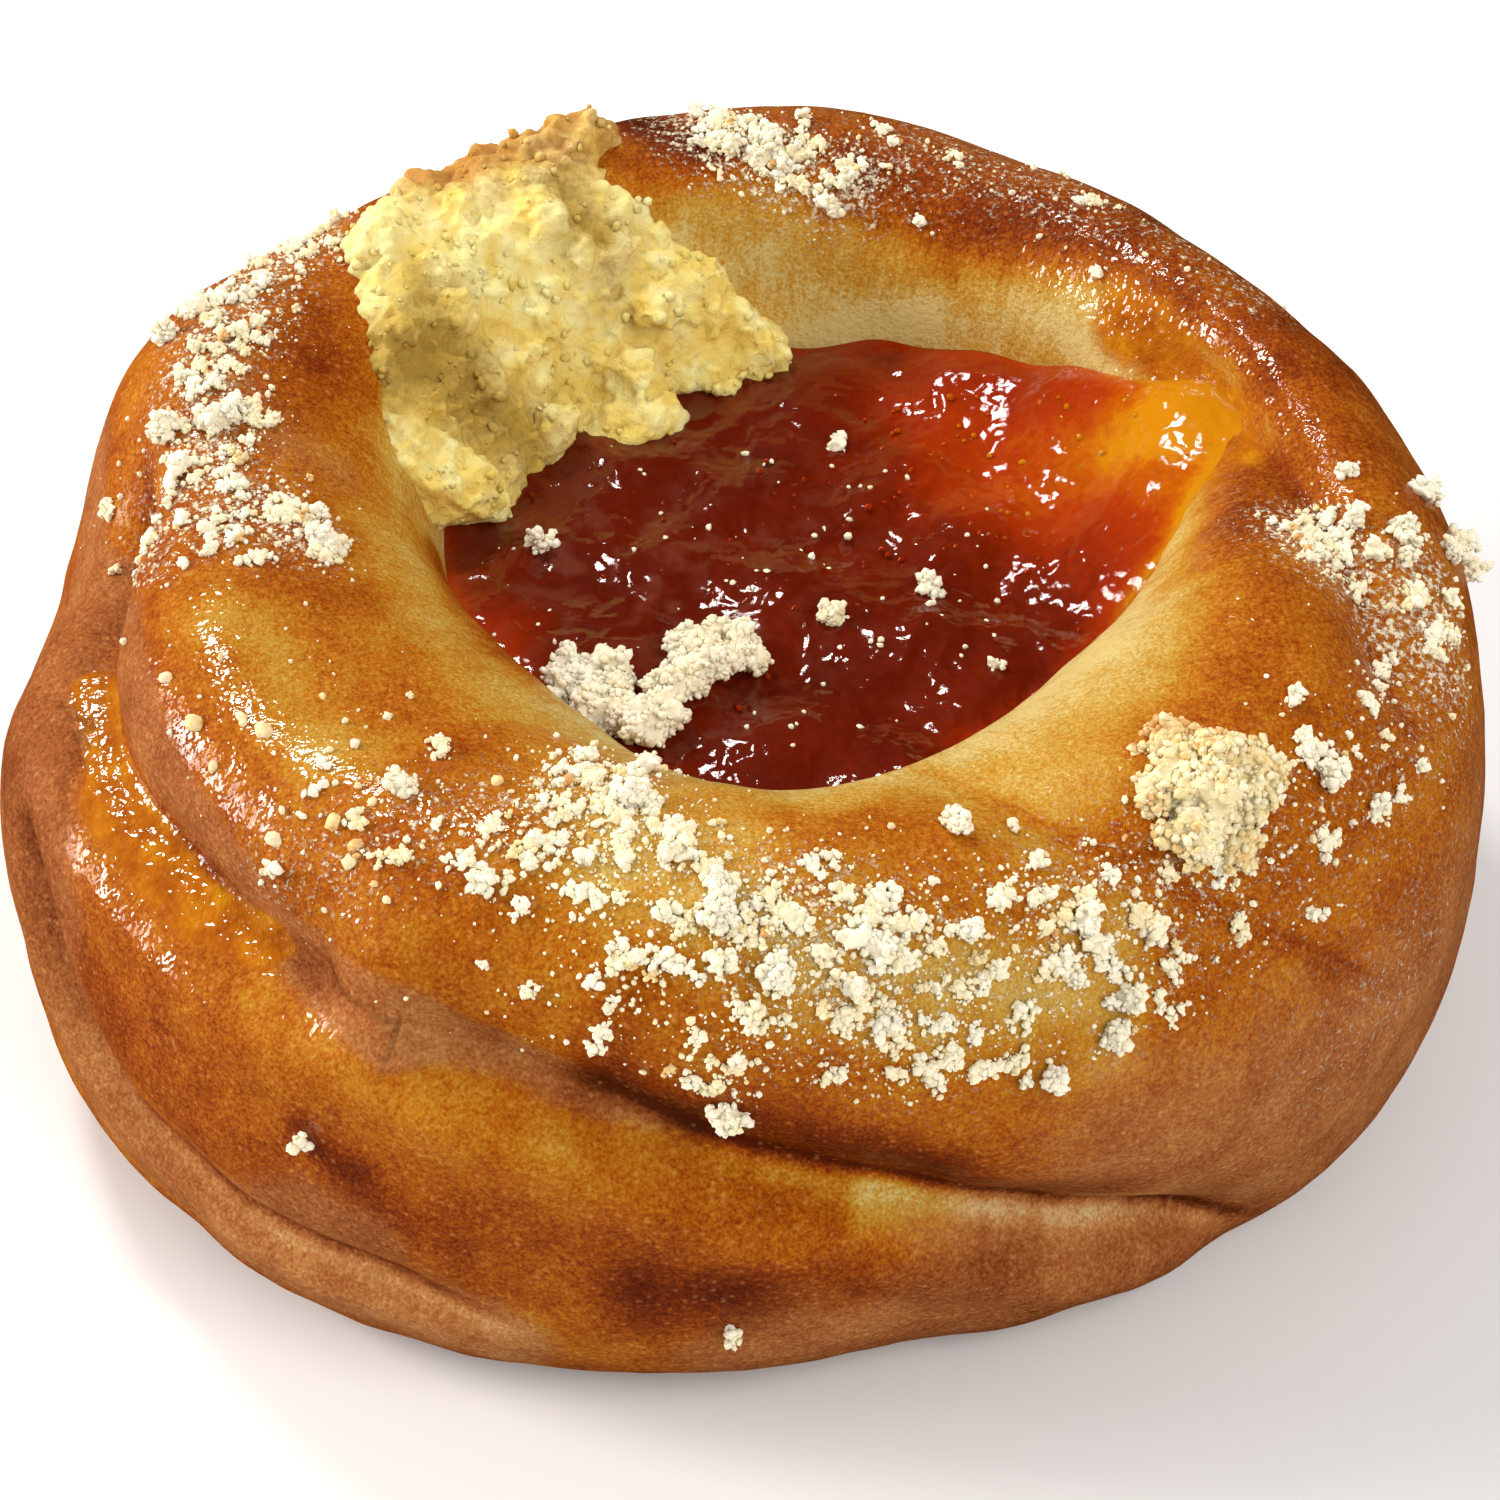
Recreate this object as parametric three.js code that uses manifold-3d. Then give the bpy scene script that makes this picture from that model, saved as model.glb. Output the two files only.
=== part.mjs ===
// A twisted sweet-dough jam bun: a ring of dough laid as a rope, with the jam in its well,
// a patch of baked crumble from the rim down to the jam, and crumbs scattered over the crust.
// Millimetres, +Z up. The origin is the middle of the flat base, and -Y is the bun's front.
import * as THREE from 'three';
import { mergeVertices } from 'three/addons/utils/BufferGeometryUtils.js';
import Module from 'manifold-3d';

const wasm = await Module();
wasm.setup();

// ---- Driving dimensions ----

const bunWidth = 111; // across the ring, left to right
const unit = bunWidth / 111; // every length below is for a bun 111 wide

// The ring's section, one value for each twelfth of a turn, from the right side anticlockwise.
const ring = {
  //       0     30    60    90    120   150   180   210   240   270   300   330
  outer: [54.0, 51.0, 51.5, 51.5, 52.0, 54.0, 55.5, 57.0, 55.0, 51.5, 51.0, 55.5], // widest radius
  waist: [22.0, 22.0, 22.0, 22.0, 22.0, 20.0, 15.0, 15.0, 16.0, 17.0, 20.0, 22.0], // its height
  crest: [41.0, 40.0, 40.0, 40.5, 40.0, 40.0, 39.0, 39.0, 38.0, 37.0, 38.0, 40.0], // radius of the top
  height: [46.0, 45.5, 45.5, 47.0, 45.5, 46.0, 46.5, 45.5, 45.0, 45.0, 45.0, 45.5], // its height
  well: [25.0, 29.0, 30.0, 29.0, 28.0, 28.0, 25.0, 19.5, 20.0, 25.5, 20.0, 19.0], // the well's floor
};
const ringCentre = [1.0, 0.0]; // puts the whole bun's middle on the origin
const wellCentre = [3.0, 1.0]; // the well lies off the ring's centre
const floorHeight = 26; // of the well's floor, under the jam
const baseSink = 1.2; // how far the round underside is pressed flat
const squareness = { under: 2.7, outside: 2.2, inside: 2.1 }; // 2 is an ellipse, more is boxier

// Creases between the strands. Points are (direction, section angle) in degrees: a section
// angle of -90 is the base, 0 the outside, 90 the top and 180 the well's wall. The strand
// below a crease has a raised lip along it.
const creases = [
  {
    points: [[172, 72], [183, 58], [200, 49], [218, 46], [230, 43], [242, 41]],
    depth: 4.4, above: 4.0, below: 3.4, lip: 0.8,
  },
  {
    points: [[236, 44], [248, 38], [258, 32], [272, 18], [288, 0], [305, -28], [320, -50]],
    depth: 4.4, above: 4.6, below: 3.2, lip: 1.0,
  },
  {
    points: [[200, 40], [205, 24], [212, 7], [220, -1], [230, -6], [242, -10], [254, -16]],
    depth: 2.2, above: 3.2, below: 2.6, lip: 0.5,
  },
  {
    points: [[40, 144], [25, 126], [13, 117], [1, 101], [350, 82], [340, 60], [332, 42]],
    depth: 3.2, above: 4.6, below: 4.6, lip: 0.4,
  },
  {
    points: [[286, 136], [295, 106], [302, 76], [308, 52], [315, 32], [327, 2]],
    depth: 2.0, above: 6.0, below: 6.0, lip: 0,
  },
];
// Two more on the side away from the front, where the strands go on round the ring.
const rearCreases = [
  {
    points: [[14, 30], [34, 26], [58, 16], [84, 0], [108, -20], [132, -46]],
    depth: 3.6, above: 5.2, below: 3.4, lip: 0.8,
  },
  {
    points: [[100, 36], [122, 26], [144, 10], [164, -10], [184, -34], [200, -56]],
    depth: 3.0, above: 5.0, below: 3.4, lip: 0.6,
  },
];
const creaseEnd = 0.18; // share of a crease's length over which it fades in and out
const creaseSharpness = 1.3;

// Soft swellings and hollows: direction, section angle, reach, push outwards.
const swellings = [
  [197, 22, 14, 1.5], // lower strand, left
  [160, 66, 12, 1.5], // upper strand, back left
  [180, 44, 10, -4.0], // notch where the strands part, left
  [278, -34, 16, -1.5], // tucked in under the front
  [318, 12, 14, 1.0], // upper strand, front right
  [88, 22, 15, 1.2], // upper strand, rear
  [52, -14, 14, 1.0], // lower strand, rear
];

const jam = {
  level: 33, // height of the pool
  reach: 37, // past the wall everywhere, and cut back to it
  rise: 8, riseToward: 12, riseSpread: 38, // it climbs the wall on the right
  riseStart: 0.5, riseEnd: 0.86, // shares of its reach between which it climbs
  wave: 0.5, // unevenness of its skin
};

const gap = 0.35; // left between two solids that touch

// The patch of crumble. Its edge is a smooth line near these places on the crust, in degrees.
const patch = {
  middle: [127, 122],
  directions: [97, 107, 110, 108, 118, 132, 144, 155, 170, 171, 148, 122, 102, 87],
  angles: [150, 126, 100, 78, 72, 78, 97, 118, 140, 158, 170, 175, 173, 162],
  thickness: 2.0, // on the crust
  footThickness: 5.0, // down in the well, where it stands on the jam
  footFrom: 126, footTo: 160, // section angles between which it thickens
  lumps: 24, smallest: 1.4, largest: 2.7, // radius of its lumps
  // Its largest lumps: direction, section angle, radius, lift.
  large: [
    [111, 84, 3.9, 0.0], [118, 82, 3.2, 0.2], [122, 100, 2.8, 0.8], [121, 112, 2.8, 1.0],
    [119, 126, 2.6, 1.4], [135, 90, 2.9, 0.4], [107, 138, 2.4, 0.8],
    [121, 163, 3.6, 5.2], [128, 166, 3.0, 5.0], [115, 166, 2.6, 4.6],
  ],
};

// Crumb heaps as big as a berry. On the crust a lump is [direction, section angle, radius, lift],
// and on the jam it is [x, y, radius, lift], counted from the ring's middle.
const crustHeap = [
  [313, 72, 2.7, 0.6], [316, 80, 2.3, 0.5], [310, 66, 2.3, 0.2], [317, 66, 2.0, 0.3],
  [310, 78, 2.0, 0.2], [314, 90, 1.9, 0.3], [313, 56, 1.7, 0.0], [318, 74, 1.8, 0.1],
];
const jamHeap = [
  [-13.2, -10.2, 2.0, 1.0], [-11.2, -12.4, 2.4, 1.4], [-10.0, -10.0, 1.8, 1.6], [-12.4, -14.4, 1.8, 0.8],
  [-8.2, -14.6, 2.3, 1.2], [-6.6, -12.2, 1.8, 1.0], [-4.6, -10.4, 1.9, 1.0], [-3.0, -8.6, 2.3, 1.6],
  [-4.8, -6.8, 1.8, 1.4], [-1.0, -7.4, 2.0, 1.2], [-2.6, -5.0, 1.5, 1.0],
];
const jamCrumbs = [
  [-16.2, 6.0, 1.2, 0.4], [5.3, -2.3, 1.2, 0.4], [12.8, 1.0, 1.0, 0.4],
  [6.1, 17.6, 1.0, 0.4], [17.0, -8.0, 0.9, 0.4],
];

// Where crumbs fell: a line from one place to another, how far they stray from it, and how many.
const sprinkles = [
  { from: [247, 104], to: [272, 66], stray: [5, 8], count: 12 },
  { from: [270, 66], to: [303, 37], stray: [6, 11], count: 17 },
  { from: [143, 72], to: [168, 82], stray: [5, 8], count: 8 },
  { from: [168, 80], to: [197, 106], stray: [6, 11], count: 12 },
  { from: [98, 80], to: [82, 120], stray: [6, 8], count: 13 },
  { from: [2, 100], to: [348, 60], stray: [5, 8], count: 7 },
  { from: [5, 62], to: [356, 36], stray: [4, 7], count: 6 },
  { from: [302, 70], to: [338, 56], stray: [6, 14], count: 8 },
];
// Larger single crumbs: direction, section angle, size across.
const singles = [
  [234, 85, 2.6], [268, 31, 2.8], [228, 57, 1.7], [246, 71, 1.8],
  [268, -16, 1.6], [236, 17, 1.4], [290, 92, 2.2],
];
const crumbSizes = [1.3, 2.8]; // across, the smallest and largest that fell in the sprinkles
const crumbSink = 0.32; // share of a crumb that is under the crust
const lumpUnevenness = 0.22;

// How finely the dough is divided: rows are [from angle, to angle, steps], in degrees.
const grid = {
  columns: 80,
  crowdToward: 250, crowding: 0.28, // columns stand closer together toward the creased front
  rows: [[-82, -54, 3], [-54, 114, 26], [114, 178, 6]],
};

// ---- Small helpers ----

const degrees = Math.PI / 180;

function smoothStep(low, high, x) {
  const t = Math.min(Math.max((x - low) / (high - low), 0), 1);
  return t * t * (3 - 2 * t);
}

// A repeatable stream of numbers from 0 to 1.
function makeDraw(seed) {
  let state = seed;
  return () => {
    state = (state * 16807) % 2147483647;
    return state / 2147483647;
  };
}

// A smooth closed curve near values at equal steps of direction (cubic B-spline).
function around(values, direction) {
  const n = values.length;
  const turn = direction / (2 * Math.PI);
  const t = (turn - Math.floor(turn)) * n;
  const i = Math.floor(t);
  const f = t - i;
  const [a, b, c, d] = [-1, 0, 1, 2].map((k) => values[(i + k + n) % n]);
  const cubed = f * f * f;
  return ((1 - f) ** 3 * a + (3 * cubed - 6 * f * f + 4) * b
    + (-3 * cubed + 3 * f * f + 3 * f + 1) * c + cubed * d) / 6;
}

// ---- The dough's surface ----

// The ring without its creases.
function plainPoint(direction, angle) {
  const outer = around(ring.outer, direction);
  const waist = around(ring.waist, direction);
  const crest = around(ring.crest, direction);
  const height = around(ring.height, direction);
  const well = around(ring.well, direction);
  const c = Math.cos(angle);
  const s = Math.sin(angle);
  const inside = angle > Math.PI / 2;
  const power = inside ? squareness.inside : angle >= 0 ? squareness.outside : squareness.under;
  const reach = (Math.abs(c) ** power + Math.abs(s) ** power) ** (-1 / power);
  const across = reach * c;
  const up = reach * s;
  const radius = crest + across * (inside ? crest - well : outer - crest);
  let z = waist + up * (up > 0 ? height - waist : waist + baseSink);
  if (inside) z = floorHeight + up * (height - floorHeight);
  const lean = inside ? -across : 0;
  return new THREE.Vector3(
    radius * Math.cos(direction) + wellCentre[0] * lean,
    radius * Math.sin(direction) + wellCentre[1] * lean,
    z,
  );
}

function plainNormal(direction, angle) {
  const step = 1e-3;
  const along = plainPoint(direction + step, angle).sub(plainPoint(direction - step, angle));
  const up = plainPoint(direction, angle + step).sub(plainPoint(direction, angle - step));
  return along.cross(up).normalize();
}

// A crease's course as places on the ring, with its directions running on past 360 degrees.
function creaseCourse(points) {
  const flat = points.map(([direction, angle]) => new THREE.Vector3(direction, angle, 0));
  for (let i = 1; i < flat.length; i++) {
    while (flat[i].x - flat[i - 1].x > 180) flat[i].x -= 360;
    while (flat[i].x - flat[i - 1].x < -180) flat[i].x += 360;
  }
  const curve = new THREE.CatmullRomCurve3(flat, false, 'catmullrom', 0.5);
  return curve.getPoints((points.length - 1) * 8);
}

const creaseLines = [...creases, ...rearCreases].map((crease) => {
  const course = creaseCourse(crease.points);
  return { ...crease, course, line: course.map((p) => plainPoint(p.x * degrees, p.y * degrees)) };
});
const swellingPoints = swellings.map(([direction, angle, reach, push]) => ({
  middle: plainPoint(direction * degrees, angle * degrees),
  reach,
  push,
}));

// How far a crease moves the surface in or out at a point.
function creasePush(point, normal, crease) {
  let nearest = Infinity;
  let place = 0;
  let side = 0;
  const segments = crease.line.length - 1;
  for (let i = 0; i < segments; i++) {
    const run = crease.line[i + 1].clone().sub(crease.line[i]);
    const from = point.clone().sub(crease.line[i]);
    const t = Math.min(Math.max(from.dot(run) / run.lengthSq(), 0), 1);
    from.addScaledVector(run, -t);
    const distance = from.length();
    if (distance < nearest) {
      nearest = distance;
      place = (i + t) / segments;
      side = normal.clone().cross(run).dot(from);
    }
  }
  const width = side > 0 ? crease.above : crease.below;
  const fade = smoothStep(0, creaseEnd, place) * smoothStep(0, creaseEnd, 1 - place);
  const lip = side > 0 ? 0 : crease.lip * Math.exp(-(((nearest - 1.6 * width) / width) ** 2));
  return fade * (lip - crease.depth * Math.exp(-((nearest / width) ** creaseSharpness)));
}

// A point of the finished crust, raised by lift along its normal.
function doughPoint(direction, angle, lift = 0) {
  const point = plainPoint(direction, angle);
  const normal = plainNormal(direction, angle);
  let push = lift;
  for (const crease of creaseLines) push += creasePush(point, normal, crease);
  for (const { middle, reach, push: amount } of swellingPoints) {
    push += amount * Math.exp(-point.distanceToSquared(middle) / reach ** 2);
  }
  point.addScaledVector(normal, push);
  point.z = Math.max(point.z, 0);
  point.x += ringCentre[0];
  point.y += ringCentre[1];
  return point;
}

// ---- Building closed surfaces ----

// A closed surface from rings of points, each ring a whole turn, with a point at either end.
// middleAt, where given, tells where a cell's middle lies, and the cell is split to pass near it.
function closedSurface(columns, rows, pointAt, firstPole, lastPole, middleAt) {
  const positions = [firstPole];
  for (let row = 0; row < rows; row++) {
    for (let column = 0; column < columns; column++) positions.push(pointAt(column, row));
  }
  positions.push(lastPole);
  const index = [];
  const at = (column, row) => 1 + row * columns + (column % columns);
  for (let column = 0; column < columns; column++) {
    index.push(0, at(column + 1, 0), at(column, 0));
    for (let row = 0; row < rows - 1; row++) {
      const [a, b] = [at(column, row), at(column + 1, row)];
      const [c, d] = [at(column + 1, row + 1), at(column, row + 1)];
      let rising = true;
      if (middleAt) {
        const middle = middleAt(column, row);
        const miss = (i, j) => positions[i].clone().add(positions[j]).multiplyScalar(0.5).distanceTo(middle);
        rising = miss(a, c) < miss(b, d);
      }
      if (rising) index.push(a, b, c, a, c, d);
      else index.push(a, b, d, b, c, d);
    }
    index.push(at(column, rows - 1), at(column + 1, rows - 1), positions.length - 1);
  }
  const geometry = new THREE.BufferGeometry();
  const numbers = positions.flatMap((p) => p.toArray());
  geometry.setAttribute('position', new THREE.Float32BufferAttribute(numbers, 3));
  geometry.setIndex(index);
  return geometry;
}

function toSolid(geometry) {
  const bare = geometry.clone();
  bare.deleteAttribute('normal');
  bare.deleteAttribute('uv');
  const merged = mergeVertices(bare, 1e-4);
  return new wasm.Manifold(new wasm.Mesh({
    numProp: 3,
    vertProperties: Float32Array.from(merged.attributes.position.array),
    triVerts: Uint32Array.from(merged.index.array),
  }));
}

function toGeometry(solid) {
  const mesh = solid.getMesh();
  const geometry = new THREE.BufferGeometry();
  geometry.setAttribute('position', new THREE.Float32BufferAttribute(mesh.vertProperties, 3));
  geometry.setIndex(new THREE.BufferAttribute(mesh.triVerts, 1));
  geometry.scale(unit, unit, unit);
  geometry.computeVertexNormals();
  return geometry;
}

function joined(solids) {
  return solids.reduce((whole, next) => whole.add(next));
}

function largestPiece(solid) {
  return solid.decompose().reduce((a, b) => (a.volume() > b.volume() ? a : b));
}

// An uneven lump of crumb, round a middle point.
function lumpSolid(middle, radius, draw, detail = 0) {
  const lump = new THREE.IcosahedronGeometry(radius, detail);
  lump.deleteAttribute('normal');
  lump.deleteAttribute('uv');
  const geometry = mergeVertices(lump, 1e-4);
  const position = geometry.attributes.position;
  for (let i = 0; i < position.count; i++) {
    const swell = 1 + lumpUnevenness * (2 * draw() - 1);
    position.setXYZ(i, position.getX(i) * swell, position.getY(i) * swell, position.getZ(i) * swell);
  }
  geometry.rotateX(draw() * Math.PI);
  geometry.rotateZ(draw() * Math.PI);
  geometry.translate(middle.x, middle.y, middle.z);
  return toSolid(geometry);
}

// ---- The dough ----

const plainRows = grid.rows.flatMap(([from, to, steps]) => (
  Array.from({ length: steps }, (_, i) => from + ((to - from) * i) / steps)
));
plainRows.push(grid.rows.at(-1)[1]);

function columnDirection(column) {
  const turn = (column / grid.columns) * 2 * Math.PI;
  return turn - grid.crowding * Math.sin(turn - grid.crowdToward * degrees);
}

// The section angle, in degrees, at which a crease crosses a direction, or null.
function creaseAngleAt(course, direction) {
  for (let i = 1; i < course.length; i++) {
    const [a, b] = [course[i - 1], course[i]];
    const turns = Math.round(((a.x + b.x) / 2 - direction) / 360);
    const share = (direction + 360 * turns - a.x) / (b.x - a.x);
    if (share >= 0 && share <= 1) return a.y + (b.y - a.y) * share;
  }
  return null;
}

// A column's section angles, with its rows slid so that one lies in each crease.
function slidRows(direction) {
  const rows = [...plainRows];
  for (const { course } of creaseLines) {
    const angle = creaseAngleAt(course, direction / degrees);
    if (angle === null) continue;
    const misses = plainRows.map((row) => Math.abs(row - angle));
    const nearest = misses.indexOf(Math.min(...misses));
    const shift = angle - plainRows[nearest];
    for (const [offset, share] of [[-1, 0.5], [0, 1], [1, 0.5]]) {
      const row = nearest + offset;
      if (row > 0 && row < rows.length - 1) rows[row] = plainRows[row] + shift * share;
    }
  }
  return rows.map((row) => row * degrees);
}

const directions = Array.from({ length: grid.columns + 1 }, (_, column) => columnDirection(column));
const angles = directions.map(slidRows);

function doughSolid(lift) {
  return toSolid(closedSurface(
    grid.columns,
    plainRows.length,
    (column, row) => doughPoint(directions[column], angles[column][row], lift),
    new THREE.Vector3(ringCentre[0], ringCentre[1], 0),
    new THREE.Vector3(ringCentre[0] + wellCentre[0], ringCentre[1] + wellCentre[1], floorHeight + lift),
    (column, row) => {
      const [here, next] = [angles[column], angles[column + 1]];
      return doughPoint(
        (directions[column] + directions[column + 1]) / 2,
        (here[row] + here[row + 1] + next[row] + next[row + 1]) / 4,
        lift,
      );
    },
  ));
}

// ---- Places of the lumps and crumbs ----

// The place on the crust at a turn and a share of the way out to the patch's edge.
function patchPlace(turn, share) {
  const [direction, angle] = patch.middle;
  return [
    (direction + share * (around(patch.directions, turn * 2 * Math.PI) - direction)) * degrees,
    (angle + share * (around(patch.angles, turn * 2 * Math.PI) - angle)) * degrees,
  ];
}

// The bed of the patch thins out toward its edge on the crust, and not where it meets the jam.
function bedLift(angle, share) {
  const foot = smoothStep(patch.footFrom, patch.footTo, angle / degrees);
  const thickness = patch.thickness + (patch.footThickness - patch.thickness) * foot;
  return thickness * (1 - (1 - foot) * share ** 3) - 0.4;
}

// Golden-angle spacing covers the patch evenly.
function patchLumps() {
  const draw = makeDraw(23);
  const small = Array.from({ length: patch.lumps }, (_, i) => {
    const share = Math.sqrt((i + 0.5) / patch.lumps);
    const [direction, angle] = patchPlace(i * 0.381966, 0.94 * share);
    const radius = patch.smallest + (patch.largest - patch.smallest) * draw() ** 1.5;
    const lift = Math.max(bedLift(angle, share) - 0.35 * radius + 0.9 * draw(), 0.4);
    return { middle: doughPoint(direction, angle, lift), radius };
  });
  return [...patch.large.map(onCrust), ...small];
}

function onCrust([direction, angle, radius, lift]) {
  return { middle: doughPoint(direction * degrees, angle * degrees, lift), radius };
}

function onJam([fromX, fromY, radius, lift]) {
  const [x, y] = [ringCentre[0] + fromX, ringCentre[1] + fromY];
  return { middle: new THREE.Vector3(x, y, jamHeight(x, y) + lift), radius };
}

// The loose crumbs, the largest first, and none where the patch or a heap lies.
function looseCrumbs(taken) {
  const draw = makeDraw(41);
  const bell = () => (draw() + draw() + draw() - 1.5) * 1.6;
  const places = [...singles];
  for (const { from, to, stray, count } of sprinkles) {
    for (let i = 0; i < count; i++) {
      const share = draw();
      places.push([
        from[0] + (((to[0] - from[0] + 540) % 360) - 180) * share + stray[0] * bell(),
        from[1] + (to[1] - from[1]) * share + stray[1] * bell(),
        crumbSizes[0] + (crumbSizes[1] - crumbSizes[0]) * draw() ** 2,
      ]);
    }
  }
  return places
    .sort((a, b) => b[2] - a[2])
    .map(([direction, angle, size]) => ({
      middle: doughPoint(direction * degrees, angle * degrees, size * (0.5 - crumbSink)),
      radius: size / 2,
    }))
    .filter(({ middle, radius }) => (
      taken.every((lump) => lump.middle.distanceTo(middle) > lump.radius + radius + 1.2)
    ));
}

function lumpSolids(lumps, seed, swell = 0) {
  const draw = makeDraw(seed);
  return lumps.map(({ middle, radius }) => lumpSolid(middle, radius + swell, draw));
}

const patchLumpList = patchLumps();
const crustHeapLumps = crustHeap.map(onCrust);
const crumbs = looseCrumbs([...patchLumpList, ...crustHeapLumps]);

const dough = joined([doughSolid(0), ...lumpSolids(crumbs, 97)]);
const doughClear = joined([doughSolid(gap), ...lumpSolids(crumbs, 97, gap)]);

// ---- The jam ----

const jamColumns = 28;
const jamRows = 7;
const jamBottom = floorHeight - 2;

// Height of the jam's skin at a place.
function jamHeight(x, y) {
  const [fromX, fromY] = [x - ringCentre[0] - wellCentre[0], y - ringCentre[1] - wellCentre[1]];
  const turn = Math.atan2(fromY, fromX) / degrees - jam.riseToward;
  const offset = ((turn + 540) % 360) - 180;
  const climb = smoothStep(jam.riseStart, jam.riseEnd, Math.hypot(fromX, fromY) / jam.reach);
  const waves = Math.sin(x * 0.42 + 0.6 * Math.sin(y * 0.31)) * Math.cos(y * 0.36 - x * 0.17)
    + 0.6 * Math.sin(x * 0.19 + y * 0.47 + 1.3);
  return jam.level + jam.rise * Math.exp(-((offset / jam.riseSpread) ** 2)) * climb + jam.wave * waves;
}

function jamPoint(turn, share, lift) {
  const x = ringCentre[0] + wellCentre[0] + jam.reach * share * Math.cos(turn);
  const y = ringCentre[1] + wellCentre[1] + jam.reach * share * Math.sin(turn);
  return new THREE.Vector3(x, y, jamHeight(x, y) + lift);
}

// A block from under the well's floor up to the jam's skin: rows run up its side, then inwards.
function jamBlock(lift) {
  return toSolid(closedSurface(
    jamColumns,
    jamRows,
    (column, row) => {
      const turn = (column / jamColumns) * 2 * Math.PI;
      if (row === 0) return jamPoint(turn, 1, lift).setZ(jamBottom);
      return jamPoint(turn, 1 - (row - 1) / (jamRows - 1), lift);
    },
    jamPoint(0, 0, lift).setZ(jamBottom),
    jamPoint(0, 0, lift),
  ));
}

const jamPool = largestPiece(jamBlock(0).subtract(doughClear));
const jamSolid = joined([jamPool, ...lumpSolids(jamCrumbs.map(onJam), 53)]);
const jamClear = joined([jamBlock(gap), ...lumpSolids(jamCrumbs.map(onJam), 53, gap)]);

// ---- The patch of crumble and the heaps ----

const bedColumns = 22;
// Each row's share of the way out, under the crust or on top of the bed.
const bedRows = [[0.4, 'under'], [1, 'under'], [1, 'top'], [0.85, 'top'], [0.62, 'top'], [0.35, 'top']];
const bedUnder = -1.5;

function patchBed() {
  return toSolid(closedSurface(
    bedColumns,
    bedRows.length,
    (column, row) => {
      const [share, side] = bedRows[row];
      const [direction, angle] = patchPlace(column / bedColumns, share);
      return doughPoint(direction, angle, side === 'under' ? bedUnder : bedLift(angle, share));
    },
    doughPoint(...patchPlace(0, 0), bedUnder),
    doughPoint(...patchPlace(0, 0), bedLift(patch.middle[1] * degrees, 0)),
  ));
}

// What is left of a lumpy heap where it lies on the crust and the jam.
function laidOn(solids) {
  return largestPiece(joined(solids).subtract(doughClear).subtract(jamClear));
}

// ---- The bun ----

function finish(name, color, roughness) {
  return new THREE.MeshStandardMaterial({ name, color, roughness, metalness: 0 });
}

const finishes = {
  crust: finish('crust', 0xb8651c, 0.42),
  jam: finish('jam', 0x8c1c06, 0.12),
  crumble: finish('crumble', 0xd9bd68, 0.85),
  crumb: finish('crumb', 0xe9dcb4, 0.9),
};

const bun = new THREE.Group();
bun.name = 'jam_bun';

function addPiece(name, solid, material) {
  const piece = new THREE.Mesh(toGeometry(solid), material);
  piece.name = name;
  bun.add(piece);
}

addPiece('dough', dough, finishes.crust);
addPiece('jam', jamSolid, finishes.jam);
addPiece('crumble_patch', laidOn([patchBed(), ...lumpSolids(patchLumpList, 31)]), finishes.crumble);
addPiece('crumb_right', laidOn(lumpSolids(crustHeapLumps, 11)), finishes.crumb);
addPiece('crumb_front', laidOn(lumpSolids(jamHeap.map(onJam), 13)), finishes.crumb);

export default bun;
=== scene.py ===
import math

import bmesh
import bpy
import numpy as np
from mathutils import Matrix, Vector


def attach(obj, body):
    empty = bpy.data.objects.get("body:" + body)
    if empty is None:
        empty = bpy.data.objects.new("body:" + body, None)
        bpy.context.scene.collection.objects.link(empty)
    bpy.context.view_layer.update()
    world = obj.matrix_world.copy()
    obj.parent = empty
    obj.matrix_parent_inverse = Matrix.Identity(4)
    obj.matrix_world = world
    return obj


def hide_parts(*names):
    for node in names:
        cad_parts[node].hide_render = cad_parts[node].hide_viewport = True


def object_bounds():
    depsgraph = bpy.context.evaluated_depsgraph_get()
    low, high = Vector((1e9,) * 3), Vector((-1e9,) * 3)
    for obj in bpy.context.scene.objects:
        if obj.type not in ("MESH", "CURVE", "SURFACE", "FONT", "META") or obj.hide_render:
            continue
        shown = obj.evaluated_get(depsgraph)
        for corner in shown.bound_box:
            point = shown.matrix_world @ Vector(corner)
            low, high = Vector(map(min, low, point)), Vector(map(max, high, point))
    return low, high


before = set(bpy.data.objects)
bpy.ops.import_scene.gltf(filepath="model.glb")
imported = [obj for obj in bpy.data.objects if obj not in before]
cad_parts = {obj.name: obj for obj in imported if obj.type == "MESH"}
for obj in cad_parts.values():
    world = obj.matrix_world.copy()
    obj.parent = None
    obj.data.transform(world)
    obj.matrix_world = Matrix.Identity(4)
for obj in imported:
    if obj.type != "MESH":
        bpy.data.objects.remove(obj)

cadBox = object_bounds()
writtenWidth = 109.75  # width of the bun that the lengths below are written for
mm = (cadBox[1].x - cadBox[0].x) / writtenWidth  # one of those millimetres in metres

# the bun's form, the same as the solid's

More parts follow.
